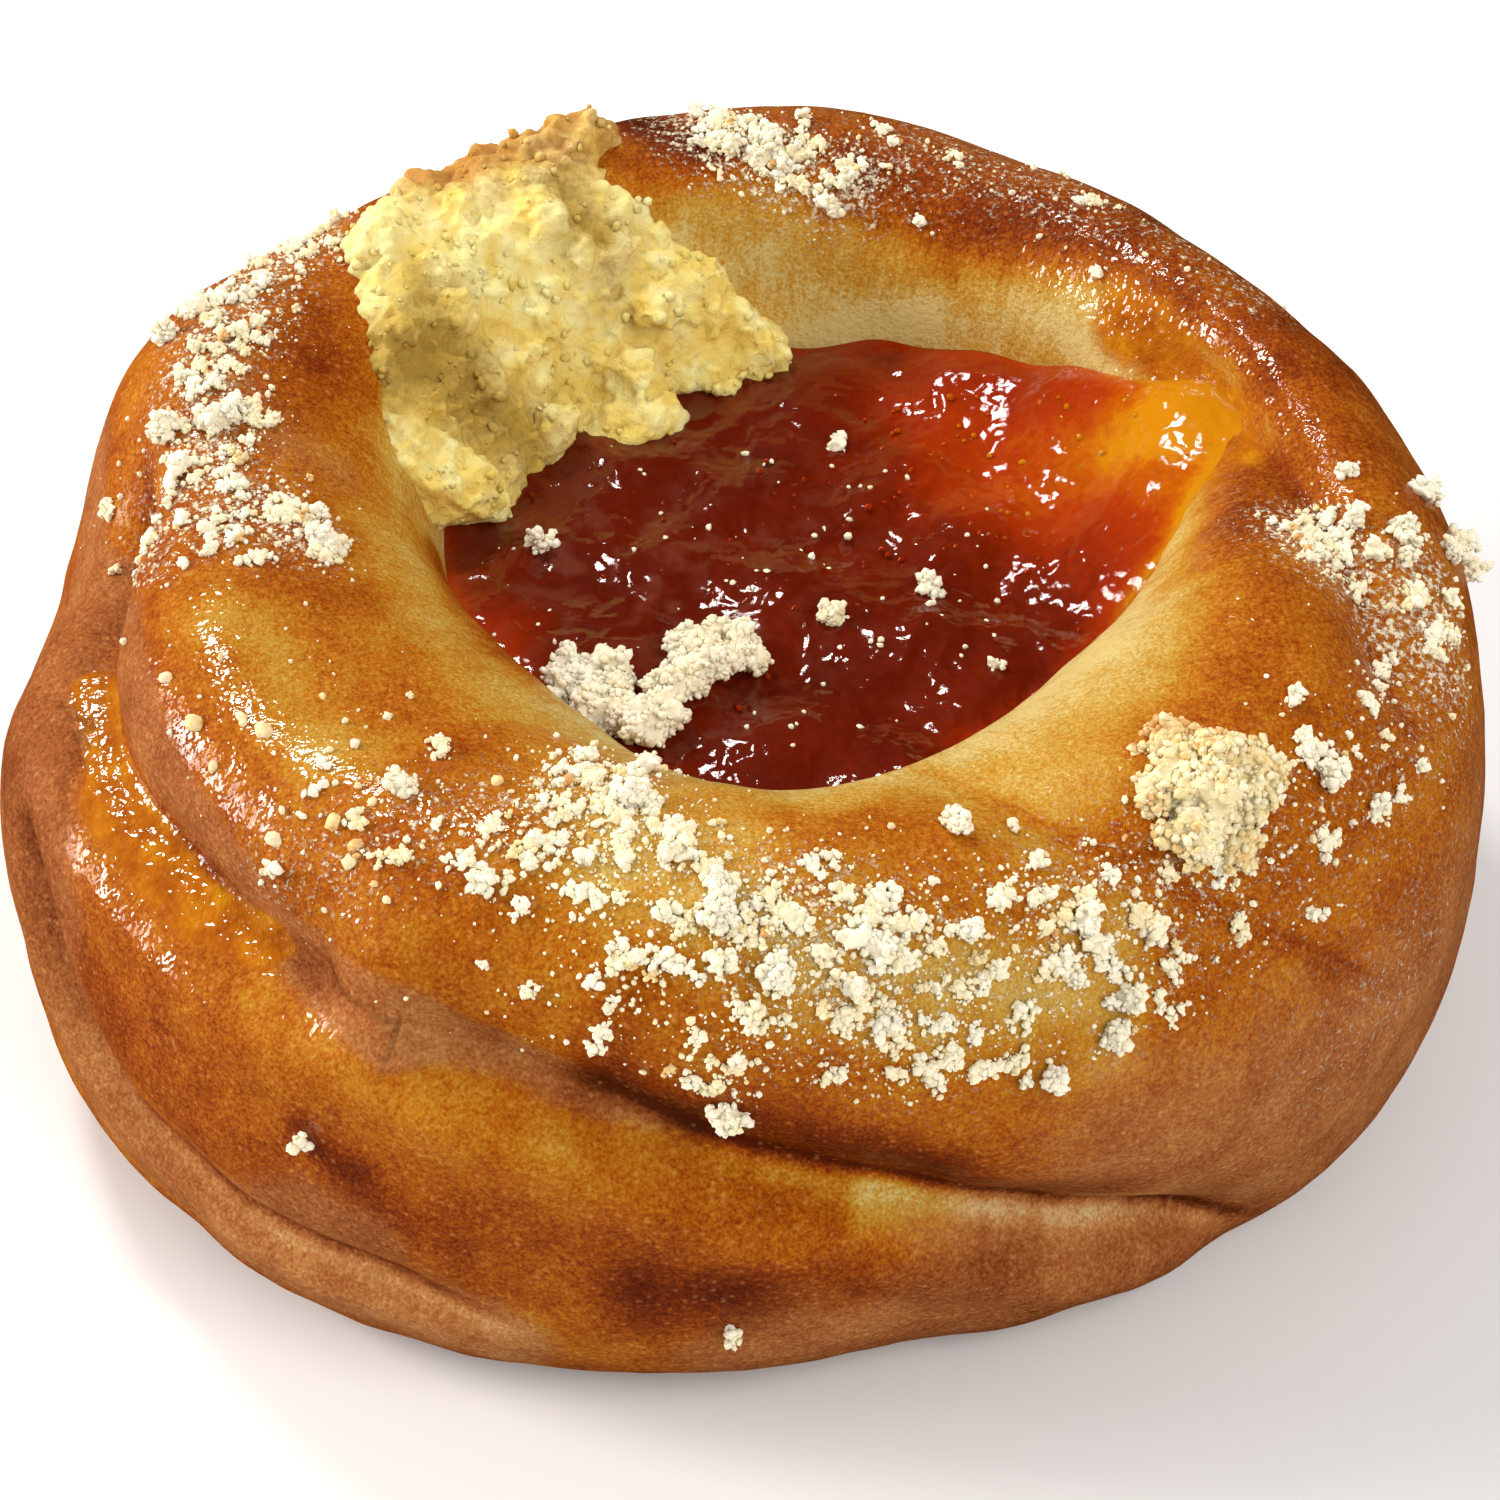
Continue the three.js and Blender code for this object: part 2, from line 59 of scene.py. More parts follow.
ring = {
    # one value for each twelfth of a turn, from the right side anticlockwise
    "outer": [54.0, 51.0, 51.5, 51.5, 52.0, 54.0, 55.5, 57.0, 55.0, 51.5, 51.0, 55.5],
    "waist": [22.0, 22.0, 22.0, 22.0, 22.0, 20.0, 15.0, 15.0, 16.0, 17.0, 20.0, 22.0],
    "crest": [41.0, 40.0, 40.0, 40.5, 40.0, 40.0, 39.0, 39.0, 38.0, 37.0, 38.0, 40.0],
    "height": [46.0, 45.5, 45.5, 47.0, 45.5, 46.0, 46.5, 45.5, 45.0, 45.0, 45.0, 45.5],
    "well": [25.0, 29.0, 30.0, 29.0, 28.0, 28.0, 25.0, 19.5, 20.0, 25.5, 20.0, 19.0],
    "centre": [1.0, 0.0],
    "wellCentre": [3.0, 1.0],
    "floor": 26,
    "sink": 1.2,
    "squareness": {"under": 2.7, "outside": 2.2, "inside": 2.1},
}

# courses are (direction, section angle) in degrees: -90 base, 0 outside, 90 top, 180 well wall
creases = {
    "pocket": {
        "points": [(172, 72), (183, 58), (200, 49), (218, 46), (230, 43), (242, 41)],
        "depth": 4.4, "above": 4.0, "below": 3.4, "lip": 0.8,
    },
    "flank": {
        "points": [(236, 44), (248, 38), (258, 32), (272, 18), (288, 0), (305, -28), (320, -50)],
        "depth": 4.4, "above": 4.4, "below": 2.8, "lip": 1.0,
    },
    "foot": {
        "points": [(200, 40), (205, 24), (212, 7), (220, -1), (230, -6), (242, -10), (254, -16)],
        "depth": 1.6, "above": 2.2, "below": 1.8, "lip": 0.5,
    },
    "back": {
        "points": [(40, 144), (25, 126), (13, 117), (1, 101), (350, 82), (340, 60), (332, 42)],
        "depth": 3.2, "above": 4.6, "below": 4.6, "lip": 0.4,
    },
    "front": {
        "points": [(286, 136), (295, 106), (302, 76), (308, 52), (315, 32), (327, 2)],
        "depth": 2.0, "above": 6.0, "below": 6.0, "lip": 0,
    },
    "rear1": {
        "points": [(14, 30), (34, 26), (58, 16), (84, 0), (108, -20), (132, -46)],
        "depth": 3.6, "above": 5.2, "below": 3.4, "lip": 0.8,
    },
    "rear2": {
        "points": [(100, 36), (122, 26), (144, 10), (164, -10), (184, -34), (200, -56)],
        "depth": 3.0, "above": 5.0, "below": 3.4, "lip": 0.6,
    },
}
creaseEnd = 0.18
creaseSharpness = 1.3
creaseRound = 0.35

# direction, section angle, reach, push outwards
swellings = [
    (197, 22, 14, 1.5), (160, 66, 12, 1.5), (180, 44, 10, -4.0), (278, -34, 16, -1.5),
    (318, 12, 14, 1.0), (88, 22, 15, 1.2), (52, -14, 14, 1.0),
]

jamForm = {
    "level": 33, "reach": 37, "rise": 8, "riseToward": 12, "riseSpread": 38,
    "riseStart": 0.5, "riseEnd": 0.86, "wave": 0.5,
}

patchForm = {
    "middle": (127, 122),
    "directions": [97, 107, 110, 108, 118, 132, 144, 155, 170, 171, 148, 122, 102, 87],
    "angles": [150, 126, 100, 78, 72, 78, 97, 118, 140, 158, 170, 175, 173, 162],
    "thickness": 1.6, "footThickness": 4.2, "footFrom": 126, "footTo": 160,
    "lumps": 24, "smallest": 1.4, "largest": 2.7,
    # its largest lumps: direction, section angle, radius, lift
    "large": [
        (111, 85, 3.4, -1.0), (119, 84, 3.0, -0.6), (122, 100, 2.6, 0.5), (121, 112, 2.6, 0.7),
        (119, 126, 2.4, 1.0),
        (135, 92, 2.6, 0.2), (107, 138, 2.2, 0.2), (121, 163, 3.4, 4.6), (128, 166, 2.8, 4.4),
        (115, 166, 2.4, 4.0),
    ],
}

crustHeap = [
    (313, 72, 2.7, 0.6), (316, 80, 2.3, 0.5), (310, 66, 2.3, 0.2), (317, 66, 2.0, 0.3),
    (310, 78, 2.0, 0.2), (314, 90, 1.9, 0.3), (313, 56, 1.7, 0.0), (318, 74, 1.8, 0.1),
]
jamHeap = [
    (-13.2, -10.2, 2.0, 1.0), (-11.2, -12.4, 2.4, 1.4), (-10.0, -10.0, 1.8, 1.6),
    (-12.4, -14.4, 1.8, 0.8), (-8.2, -14.6, 2.3, 1.2), (-6.6, -12.2, 1.8, 1.0),
    (-4.6, -10.4, 1.9, 1.0), (-3.0, -8.6, 2.3, 1.6), (-4.8, -6.8, 1.8, 1.4),
    (-1.0, -7.4, 2.0, 1.2), (-2.6, -5.0, 1.5, 1.0),
]
jamCrumbs = [
    (-16.2, 6.0, 1.2, 0.4), (5.3, -2.3, 1.2, 0.4), (12.8, 1.0, 1.0, 0.4), (6.1, 17.6, 1.0, 0.4),
    (17.0, -8.0, 0.9, 0.4),
]
# a line from one place to another, how far crumbs stray from it, and how many
sprinkles = [
    ((247, 104), (272, 66), (5, 8), 12), ((270, 66), (303, 37), (6, 11), 17),
    ((143, 72), (168, 82), (5, 8), 8), ((168, 80), (197, 106), (6, 11), 12),
    ((98, 80), (82, 120), (6, 8), 13), ((2, 100), (348, 60), (5, 8), 7),
    ((5, 62), (356, 36), (4, 7), 6), ((302, 70), (338, 56), (6, 14), 8),
]
singles = [
    (234, 85, 2.6), (268, 31, 2.8), (228, 57, 1.7), (246, 71, 1.8), (268, -16, 1.6), (236, 17, 1.4),
    (290, 92, 2.2),
]
crumbSizes = (1.3, 2.8)
crumbSink = 0.32


def smoothStep(low, high, x):
    t = np.clip((x - low) / (high - low), 0, 1)
    return t * t * (3 - 2 * t)


def hump(x):
    return np.exp(-(x**2))


def unitRows(vectors):
    return vectors / np.linalg.norm(vectors, axis=-1, keepdims=True)


# The solid's own stream of numbers, so that its large crumbs land in the same places
def makeDraw(seed):
    state = seed

    def draw():
        nonlocal state
        state = state * 16807 % 2147483647
        return state / 2147483647

    return draw


# A smooth closed curve near values at equal steps of direction
def around(values, direction):
    values = np.asarray(values, float)
    n = len(values)
    t = (np.asarray(direction) / (2 * math.pi)) % 1.0 * n
    i = np.floor(t).astype(int)
    f = t - i
    a, b, c, d = (values[(i + k) % n] for k in (-1, 0, 1, 2))
    cubed = f**3
    return ((1 - f) ** 3 * a + (3 * cubed - 6 * f * f + 4) * b
            + (-3 * cubed + 3 * f * f + 3 * f + 1) * c + cubed * d) / 6


def plainPoint(direction, angle):
    outer, waist, crest, height, well = (
        around(ring[name], direction) for name in ("outer", "waist", "crest", "height", "well")
    )
    c, s = np.cos(angle), np.sin(angle)
    inside = angle > math.pi / 2
    square = ring["squareness"]
    power = np.where(inside, square["inside"], np.where(angle >= 0, square["outside"], square["under"]))
    reach = (np.abs(c) ** power + np.abs(s) ** power) ** (-1 / power)
    across, up = reach * c, reach * s
    radius = crest + across * np.where(inside, crest - well, outer - crest)
    z = waist + up * np.where(up > 0, height - waist, waist + ring["sink"])
    z = np.where(inside, ring["floor"] + up * (height - ring["floor"]), z)
    lean = np.where(inside, -across, 0)
    return np.stack([
        radius * np.cos(direction) + ring["wellCentre"][0] * lean,
        radius * np.sin(direction) + ring["wellCentre"][1] * lean,
        z,
    ], axis=-1)


def plainNormal(direction, angle):
    step = 1e-3
    along = plainPoint(direction + step, angle) - plainPoint(direction - step, angle)
    up = plainPoint(direction, angle + step) - plainPoint(direction, angle - step)
    return unitRows(np.cross(along, up))


def creaseCourse(points):
    flat = np.array(points, float)
    flat[:, 0] = np.unwrap(flat[:, 0], period=360)
    ends = [2 * flat[0] - flat[1], *flat, 2 * flat[-1] - flat[-2]]
    course = [
        0.5 * (2 * b + (c - a) * t + (2 * a - 5 * b + 4 * c - d) * t**2 + (3 * b - a - 3 * c + d) * t**3)
        for a, b, c, d in zip(ends, ends[1:], ends[2:], ends[3:])
        for t in np.arange(8) / 8
    ]
    return np.array([*course, flat[-1]])


for crease in creases.values():
    course = np.radians(creaseCourse(crease["points"]))
    crease["line"] = plainPoint(course[:, 0], course[:, 1])


# Distance to a crease, the share of its length there, and which side of it
def nearCrease(points, normals, crease):
    line = crease["line"]
    segments = len(line) - 1
    nearest = np.full(len(points), np.inf)
    place = np.zeros(len(points))
    side = np.zeros(len(points))
    for i in range(segments):
        run = line[i + 1] - line[i]
        away = points - line[i]
        t = np.clip(away @ run / (run @ run), 0, 1)
        away = away - t[:, None] * run
        distance = np.sqrt(np.einsum("ij,ij->i", away, away))
        closer = distance < nearest
        nearest[closer] = distance[closer]
        place[closer] = (i + t[closer]) / segments
        across = np.cross(normals[closer], run)
        side[closer] = np.einsum("ij,ij->i", across, away[closer])
    return nearest, place, side


def creasePush(crease, nearest, place, side):
    width = np.where(side > 0, crease["above"], crease["below"])
    fade = smoothStep(0, creaseEnd, place) * smoothStep(0, creaseEnd, 1 - place)
    nearest = np.sqrt(nearest**2 + creaseRound**2) - creaseRound
    lip = np.where(side > 0, 0, crease["lip"] * hump((nearest - 1.6 * width) / width))
    return fade * (lip - crease["depth"] * np.exp(-((nearest / width) ** creaseSharpness)))


# smooth random fields
shuffle = np.random.default_rng(7).permutation(256)
slopes = unitRows(np.random.default_rng(8).normal(size=(256, 3)))


# Smooth noise from about -1 to 1 with features of a size in millimetres
def noise(points, size, seed=0):
    scaled = np.asarray(points, float) / size + seed * 17.3
    cell = np.floor(scaled).astype(int)
    f = scaled - cell
    w = f**3 * (f * (f * 6 - 15) + 10)
    total = np.zeros(len(f))
    for corner in np.ndindex(2, 2, 2):
        c = np.array(corner)
        x, y, z = ((cell + c) & 255).T
        slope = slopes[shuffle[(shuffle[(shuffle[x] + y) & 255] + z) & 255]]
        weight = np.prod(np.where(c, w, 1 - w), axis=1)
        total += weight * np.einsum("ij,ij->i", slope, f - c)
    return total * 1.7


def layeredNoise(points, size, layers=3, seed=0):
    return sum(noise(points, size / 2**k, seed + k) / 2**k for k in range(layers)) / 1.5


# Sideways noise
def drift(points, size, seed):
    return np.column_stack([noise(points, size, seed), noise(points, size, seed + 1), np.zeros(len(points))])


# Packed rounded humps: 1 in the middle of a cell and about 0 between cells
def cellHumps(points, size, seed=0):
    scaled = np.asarray(points, float) / size + seed * 11.7
    cell = np.floor(scaled).astype(int)
    nearest = np.full(len(scaled), 9.0)
    for step in np.ndindex(3, 3, 3):
        neighbour = cell + np.array(step) - 1
        x, y, z = (neighbour & 255).T
        key = shuffle[(shuffle[(shuffle[x] + y) & 255] + z) & 255]
        spot = neighbour + 0.5 + 0.45 * slopes[key]
        nearest = np.minimum(nearest, np.sum((scaled - spot) ** 2, axis=1))
    return 1 - np.sqrt(nearest) / 0.75


crustRelief = [(15, 0.55), (6.5, 0.20), (2.6, 0.055)]  # (size, depth) of its undulations


# A point of the crust raised by lift, finely or without its small undulations
def crustPoint(direction, angle, lift=0.0, finely=True):
    direction, angle = np.broadcast_arrays(np.asarray(direction, float), np.asarray(angle, float))
    shape = direction.shape
    direction, angle = direction.ravel(), angle.ravel()
    point = plainPoint(direction, angle)
    normal = plainNormal(direction, angle)
    push = np.zeros(len(point)) + np.broadcast_to(lift, shape).ravel()
    for crease in creases.values():
        push += creasePush(crease, *nearCrease(point, normal, crease))
    for d, a, reach, amount in swellings:
        middle = plainPoint(np.radians(d), np.radians(a))
        push += amount * np.exp(-np.sum((point - middle) ** 2, axis=1) / reach**2)
    if finely:
        for seed, (size, depth) in enumerate(crustRelief):
            push += depth * noise(point, size, seed)
    point = point + normal * push[:, None]
    point[:, 2] = np.maximum(point[:, 2], 0)
    point[:, :2] += ring["centre"]
    return point.reshape(*shape, 3)


def jamHeight(x, y):
    fromX = x - ring["centre"][0] - ring["wellCentre"][0]
    fromY = y - ring["centre"][1] - ring["wellCentre"][1]
    offset = (np.degrees(np.arctan2(fromY, fromX)) - jamForm["riseToward"] + 540) % 360 - 180
    climb = smoothStep(jamForm["riseStart"], jamForm["riseEnd"], np.hypot(fromX, fromY) / jamForm["reach"])
    waves = np.sin(x * 0.42 + 0.6 * np.sin(y * 0.31)) * np.cos(y * 0.36 - x * 0.17)
    waves = waves + 0.6 * np.sin(x * 0.19 + y * 0.47 + 1.3)
    rise = jamForm["rise"] * hump(offset / jamForm["riseSpread"]) * climb
    return jamForm["level"] + rise + jamForm["wave"] * waves


# A mesh of triangles that rides with the bun; values are numbers kept at its points
def makePiece(name, points, faces, material, replaces=(), values=None, smooth=True):
    mesh = bpy.data.meshes.new(name)
    mesh.vertices.add(len(points))
    mesh.vertices.foreach_set("co", (np.asarray(points) * mm).astype(np.float32).ravel())
    mesh.loops.add(faces.size)
    mesh.loops.foreach_set("vertex_index", faces.astype(np.int32).ravel())
    mesh.polygons.add(len(faces))
    mesh.polygons.foreach_set("loop_start", np.arange(0, faces.size, 3, dtype=np.int32))
    mesh.update(calc_edges=True)
    mesh.validate()
    mesh.polygons.foreach_set("use_smooth", np.full(len(mesh.polygons), smooth))
    for label, numbers in (values or {}).items():
        numbers = np.asarray(numbers, np.float32)
        kind = "FLOAT" if numbers.ndim == 1 else "FLOAT_VECTOR"
        field = "value" if numbers.ndim == 1 else "vector"
        mesh.attributes.new(label, kind, "POINT").data.foreach_set(field, numbers.ravel())
    piece = bpy.data.objects.new(name, mesh)
    bpy.context.scene.collection.objects.link(piece)
    mesh.materials.append(material)
    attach(piece, "root")
    if replaces:
        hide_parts(*replaces)
    print(f"{name}: {len(mesh.polygons)} triangles")


# Triangles of a closed surface: first pole, rings of points that each go once round, last pole
def wrapFaces(columns, rows):
    column, row = np.meshgrid(np.arange(columns), np.arange(rows - 1), indexing="ij")
    here = 1 + row * columns + column
    beside = 1 + row * columns + (column + 1) % columns
    cells = [np.stack([here, beside, beside + columns], -1),
             np.stack([here, beside + columns, here + columns], -1)]
    ends = np.arange(columns)
    after = (ends + 1) % columns
    top = 1 + (rows - 1) * columns
    poles = [
        np.stack([np.zeros_like(ends), 1 + after, 1 + ends], -1),
        np.stack([top + ends, top + after, np.full_like(ends, 1 + rows * columns)], -1),
    ]
    return np.concatenate([part.reshape(-1, 3) for part in (*cells, *poles)])


def icosphere(divisions):
    ball = bmesh.new()
    bmesh.ops.create_icosphere(ball, subdivisions=divisions, radius=1)
    points = np.array([v.co for v in ball.verts])
    faces = np.array([[v.index for v in f.verts] for f in ball.faces])
    ball.free()
    return points, faces


balls = {divisions: icosphere(divisions) for divisions in (1, 2, 3)}
octahedron = np.array([[1, 0, 0], [-1, 0, 0], [0, 1, 0], [0, -1, 0], [0, 0, 1], [0, 0, -1]])
balls[0] = (
    octahedron * 1.25,
    np.array([(a, 2 + b, 4 + c)[:: 1 if (a + b + c) % 2 == 0 else -1] for a, b, c in np.ndindex(2, 2, 2)]),
)


# Random rotation matrices
def randomTurns(rng, count):
    q = unitRows(rng.normal(size=(count, 4)))
    w, x, y, z = q.T
    return np.stack([
        np.stack([1 - 2 * (y * y + z * z), 2 * (x * y - z * w), 2 * (x * z + y * w)], -1),
        np.stack([2 * (x * y + z * w), 1 - 2 * (x * x + z * z), 2 * (y * z - x * w)], -1),
        np.stack([2 * (x * z - y * w), 2 * (y * z + x * w), 1 - 2 * (x * x + y * y)], -1),
    ], 1)


# Uneven little balls at many places, as one set of points and faces
def grains(rng, middles, radii, divisions=1, unevenness=0.22, stretch=0.25):
    ballPoints, ballFaces = balls[divisions]
    count = len(middles)
    swell = 1 + unevenness * rng.uniform(-1, 1, (count, len(ballPoints), 1))
    axes = 1 + stretch * rng.uniform(-1, 1, (count, 1, 3))
    points = np.einsum("nvj,nij->nvi", ballPoints * swell * axes, randomTurns(rng, count))
    points = points * np.asarray(radii)[:, None, None] + np.asarray(middles)[:, None, :]
    faces = ballFaces[None] + (np.arange(count) * len(ballPoints))[:, None, None]
    return points.reshape(-1, 3), faces.reshape(-1, 3)


def perPoint(values, divisions=1):
    return np.repeat(np.asarray(values), len(balls[divisions][0]))


# A colour as it looks on a screen, 0 to 255, for a shader
def color(red, green, blue):
    shares = [value / 255 for value in (red, green, blue)]
    linear = [c / 12.92 if c <= 0.04045 else ((c + 0.055) / 1.055) ** 2.4 for c in shares]
    return (*linear, 1.0)


# A material's nodes, with short ways to add the usual ones. Each gives back its output
class Shader:
    def __init__(self, name):
        self.material = bpy.data.materials.new(name)
        self.material.use_nodes = True
        self.tree = self.material.node_tree
        self.surface = self.tree.nodes["Principled BSDF"]
        texture = self.add("ShaderNodeTexCoord")
        self.place = self.add("ShaderNodeVectorMath", {0: texture.outputs["Object"]}, operation="SCALE")
        self.place.inputs["Scale"].default_value = 1 / mm
        self.place = self.place.outputs[0]

    def add(self, kind, inputs=None, **settings):
        node = self.tree.nodes.new(kind)
        for key, value in settings.items():
            setattr(node, key, value)
        for socket, value in (inputs or {}).items():
            self.plug(value, node.inputs[socket])
        return node

    def plug(self, value, socket):
        if isinstance(value, bpy.types.NodeSocket):
            self.tree.links.new(value, socket)
        else:
            socket.default_value = value

    def set(self, **values):
        for name, value in values.items():
            self.plug(value, self.surface.inputs[name.replace("_", " ")])

    def attribute(self, name):
        return self.add("ShaderNodeAttribute", attribute_name=name).outputs["Fac"]

    def attributeVector(self, name):
        return self.add("ShaderNodeAttribute", attribute_name=name).outputs["Vector"]

    def math(self, operation, *values, clamp=False):
        node = self.add("ShaderNodeMath", dict(enumerate(values)), operation=operation, use_clamp=clamp)
        return node.outputs[0]

    def plus(self, *values):
        total = values[0]
        for value in values[1:]:
            total = self.math("ADD", total, value)
        return total

    def times(self, *values):
        total = values[0]
        for value in values[1:]:
            total = self.math("MULTIPLY", total, value)
        return total

    def steps(self, value, low, high):
        inputs = {0: value, 1: low, 2: high}
        return self.add("ShaderNodeMapRange", inputs, interpolation_type="SMOOTHSTEP").outputs[0]

    def grain(self, size, detail=2.0, roughness=0.5, place=None):
        inputs = {"Vector": place or self.place, "Scale": 1 / size, "Detail": detail, "Roughness": roughness}
        return self.add("ShaderNodeTexNoise", inputs).outputs[0]

    def cells(self, size):
        node = self.add("ShaderNodeTexVoronoi", {"Vector": self.place, "Scale": 1 / size})
        return node.outputs["Distance"], node.outputs["Color"]

    # Stops are (position, red, green, blue)
    def ramp(self, value, stops):
        node = self.add("ShaderNodeValToRGB", {0: value})
        elements = node.color_ramp.elements
        while len(elements) < len(stops):
            elements.new(0.5)
        for element, (position, *shade) in zip(elements, stops):
            element.position = position
            element.color = color(*shade)
        return node.outputs["Color"]

    def mix(self, factor, first, second):
        node = self.add("ShaderNodeMix", data_type="RGBA")
        for value, index in ((factor, 0), (first, 6), (second, 7)):
            self.plug(value, node.inputs[index])
        return node.outputs[2]

    # Layers are (height from 0 to 1, depth in millimetres)
    def bump(self, *layers):
        height = self.plus(*(self.times(*layer) for layer in layers))
        return self.add("ShaderNodeBump", {"Height": height, "Strength": 1.0, "Distance": mm}).outputs[0]


# the crust's finish

# Strokes are painted along places on the crust: ([(direction, section angle), ...], reach, amount).
crustLook = {
    # how far the crust is browned, 0 pale dough and 1 nearly black; the creases add painted shade and
    # highlight to it, and one stroke below paints sheen
    "bakeOnTop": 0.56, "bakeInWell": 0.22, "bakeUnder": 0.72,
    "intoWell": (98, 138), "ontoTop": (-62, -18),  # section angles between which it changes
    "bakeAndPaintedLight": [
        ([(300, 100), (318, 118), (330, 132)], 6.5, -0.20),
        ([(352, 118), (5, 124), (18, 132)], 3.2, 0.30),
        ([(40, 132), (50, 130)], 4.0, -0.26),
        ([(158, 112), (166, 122), (176, 130)], 4.5, 0.22),
        ([(255, 108), (268, 118), (280, 122)], 6.0, -0.10),
        ([(256, 84), (270, 66), (284, 52), (296, 44)], 6.0, -0.24),
        ([(258, 35), (264, 31), (272, 25), (284, 14)], 3.0, 0.34),
        ([(286, 6), (298, -8)], 3.0, 0.20),
        ([(262, 1), (268, -3)], 4.0, 0.34),
        ([(232, 34), (248, 30), (262, 24)], 3.0, -0.10),
        ([(279, 7), (288, -2), (302, -20)], 1.9, -0.30),
        ([(236, 19), (240, 15)], 1.8, 0.24),
        ([(276, -4), (290, -14)], 4.0, 0.12), ([(232, -14), (250, -20)], 5.0, -0.10),
        ([(12, 116), (26, 120)], 3.0, -0.22),
        ([(97, 100), (100, 88), (102, 76)], 2.6, 0.40),
        ([(78, 116), (66, 122), (54, 118)], 4.5, 0.30),
        ([(44, 104), (36, 112), (20, 100)], 5.0, 0.14), ([(88, 160), (80, 156), (70, 150)], 2.2, -0.25),
        ([(14, 122), (6, 126)], 3.0, 0.06), ([(176, 28), (196, 34)], 7.0, 0.07),
        ([(352, 122), (344, 124)], 4.0, 0.10),
        ([(186, 152), (196, 148), (212, 142)], 4.5, 0.32),
        # first stroke below: partly paler dough, partly a painted sheen where the key light catches the left
        # crest
        ([(204, 86), (214, 90), (224, 84)], 4.5, -0.22), ([(192, 112), (200, 116)], 4.0, 0.12),
        ([(20, 90), (60, 92), (85, 84)], 12, 0.06),
        ([(200, 30), (222, 12), (248, 4)], 6.0, 0.12),
        ([(190, 74), (214, 76)], 8, 0.06),
    ],
    # matte, pinkish and unglazed
    "dry": [
        ([(184, 53), (197, 62), (205, 61), (212, 57), (218, 54), (224, 50), (232, 44), (242, 41)], 2.5,
         1.3),
        ([(242, 41), (250, 38), (258, 32), (268, 27)], 1.9, 1.1),
        ([(168, 42), (184, 38), (197, 40)], 4.0, 1.2),
        ([(172, 8), (188, 16), (204, 26)], 8.0, 1.2),
        ([(208, 10), (216, -6), (232, -16), (250, -24)], 5.0, 1.1),
        ([(236, 6), (240, 4)], 4.0, 0.7),
        ([(300, 10), (322, 4), (345, 14)], 12, 0.6),
        ([(275, -40), (300, -40), (330, -36)], 12, 1.0),
        ([(60, 76), (80, 72), (100, 70)], 9, 0.5),
        ([(150, 62), (172, 96), (178, 118)], 5, 0.5),
    ],
    # bright sheen broken by tiny wrinkles
    "gloss": [
        ([(206, 82), (216, 78), (226, 70), (236, 62)], 6.5, 1.1),
        ([(206, 104), (222, 90), (238, 76)], 6, 0.6),
        ([(213, 38), (221, 36), (230, 35), (236, 28), (242, 19)], 3.8, 1.1),
        ([(180, 98), (200, 108)], 7, 0.5),
        ([(10, 80), (40, 100)], 12, 0.45),
        ([(250, 56), (262, 46)], 8, 0.5),
        ([(248, 16), (258, 8)], 6, 0.3),
        ([(335, 110), (20, 134)], 7, 0.7),
        ([(30, 126), (60, 134)], 6, 0.7),
    ],
    # amber glaze that ran into the creases and up the well's wall
    "amber": [
        ([(196, 47), (203, 46), (209, 44)], 1.3, 1.4),
        ([(208, 43.5), (214, 42.5), (221, 40.5), (228, 42)], 1.75, 1.4),
        ([(332, 146), (350, 149), (8, 151)], 2.2, 0.9),
        ([(12, 142), (26, 138)], 3.0, 0.6), ([(12, 127), (24, 128), (38, 125)], 4.0, 0.85),
        ([(262, 112), (276, 96)], 3.6, 0.35),
        ([(238, 118), (252, 114)], 3.0, 0.6),
        ([(180, 152), (204, 154), (230, 156)], 3.2, 0.8), ([(250, 146), (272, 142)], 2.4, 0.6),
    ],
    # flour dusted round the crumbs
    "flour": [
        ([(140, 74), (156, 84), (168, 83), (180, 92), (192, 108)], 4.5, 0.40),
        ([(182, 62), (190, 72)], 5.0, 0.35),
        ([(98, 84), (94, 104), (82, 120)], 4.5, 0.45),
        ([(72, 90), (50, 84), (30, 78)], 6.0, 0.30),
        ([(250, 98), (264, 80), (274, 64)], 6.5, 0.20),
        ([(276, 70), (290, 52), (302, 42)], 7.0, 0.16),
        ([(272, 44), (286, 30)], 7.0, 0.12),
        ([(353, 104), (348, 86), (346, 66)], 5.0, 0.40),
        ([(352, 58), (344, 44)], 4.0, 0.30),
        ([(240, 80), (228, 60)], 6.0, 0.25),
        ([(300, 66), (320, 52), (336, 46)], 8.0, 0.22),
        ([(316, 6), (328, 12)], 8.0, 0.18),
    ],
}


# The sum of soft strokes along the crust, with their edges made uneven
def strokeField(points, strokes, wander):
    total = np.zeros(len(points))
    for places, reach, amount in strokes:
        flat = np.array(places, float)
        flat[:, 0] = np.unwrap(flat[:, 0], period=360)
        steps = np.linspace(0, len(flat) - 1, 6 * (len(flat) - 1) + 1)
        line = np.stack([np.interp(steps, np.arange(len(flat)), flat[:, k]) for k in (0, 1)], -1)
        line = plainPoint(np.radians(line[:, 0]), np.radians(line[:, 1]))
        line[:, :2] += ring["centre"]
        nearest = np.min([np.sum((points - spot) ** 2, axis=1) for spot in line], axis=0)
        total += amount * np.exp(-nearest / reach**2 * (1 + wander))
    return total


doughForm = {
    "columns": 512, "rows": ((-84, -54, 9), (-54, 140, 150), (140, 178, 24)),
    "crowdToward": 250, "crowding": 0.28,
}


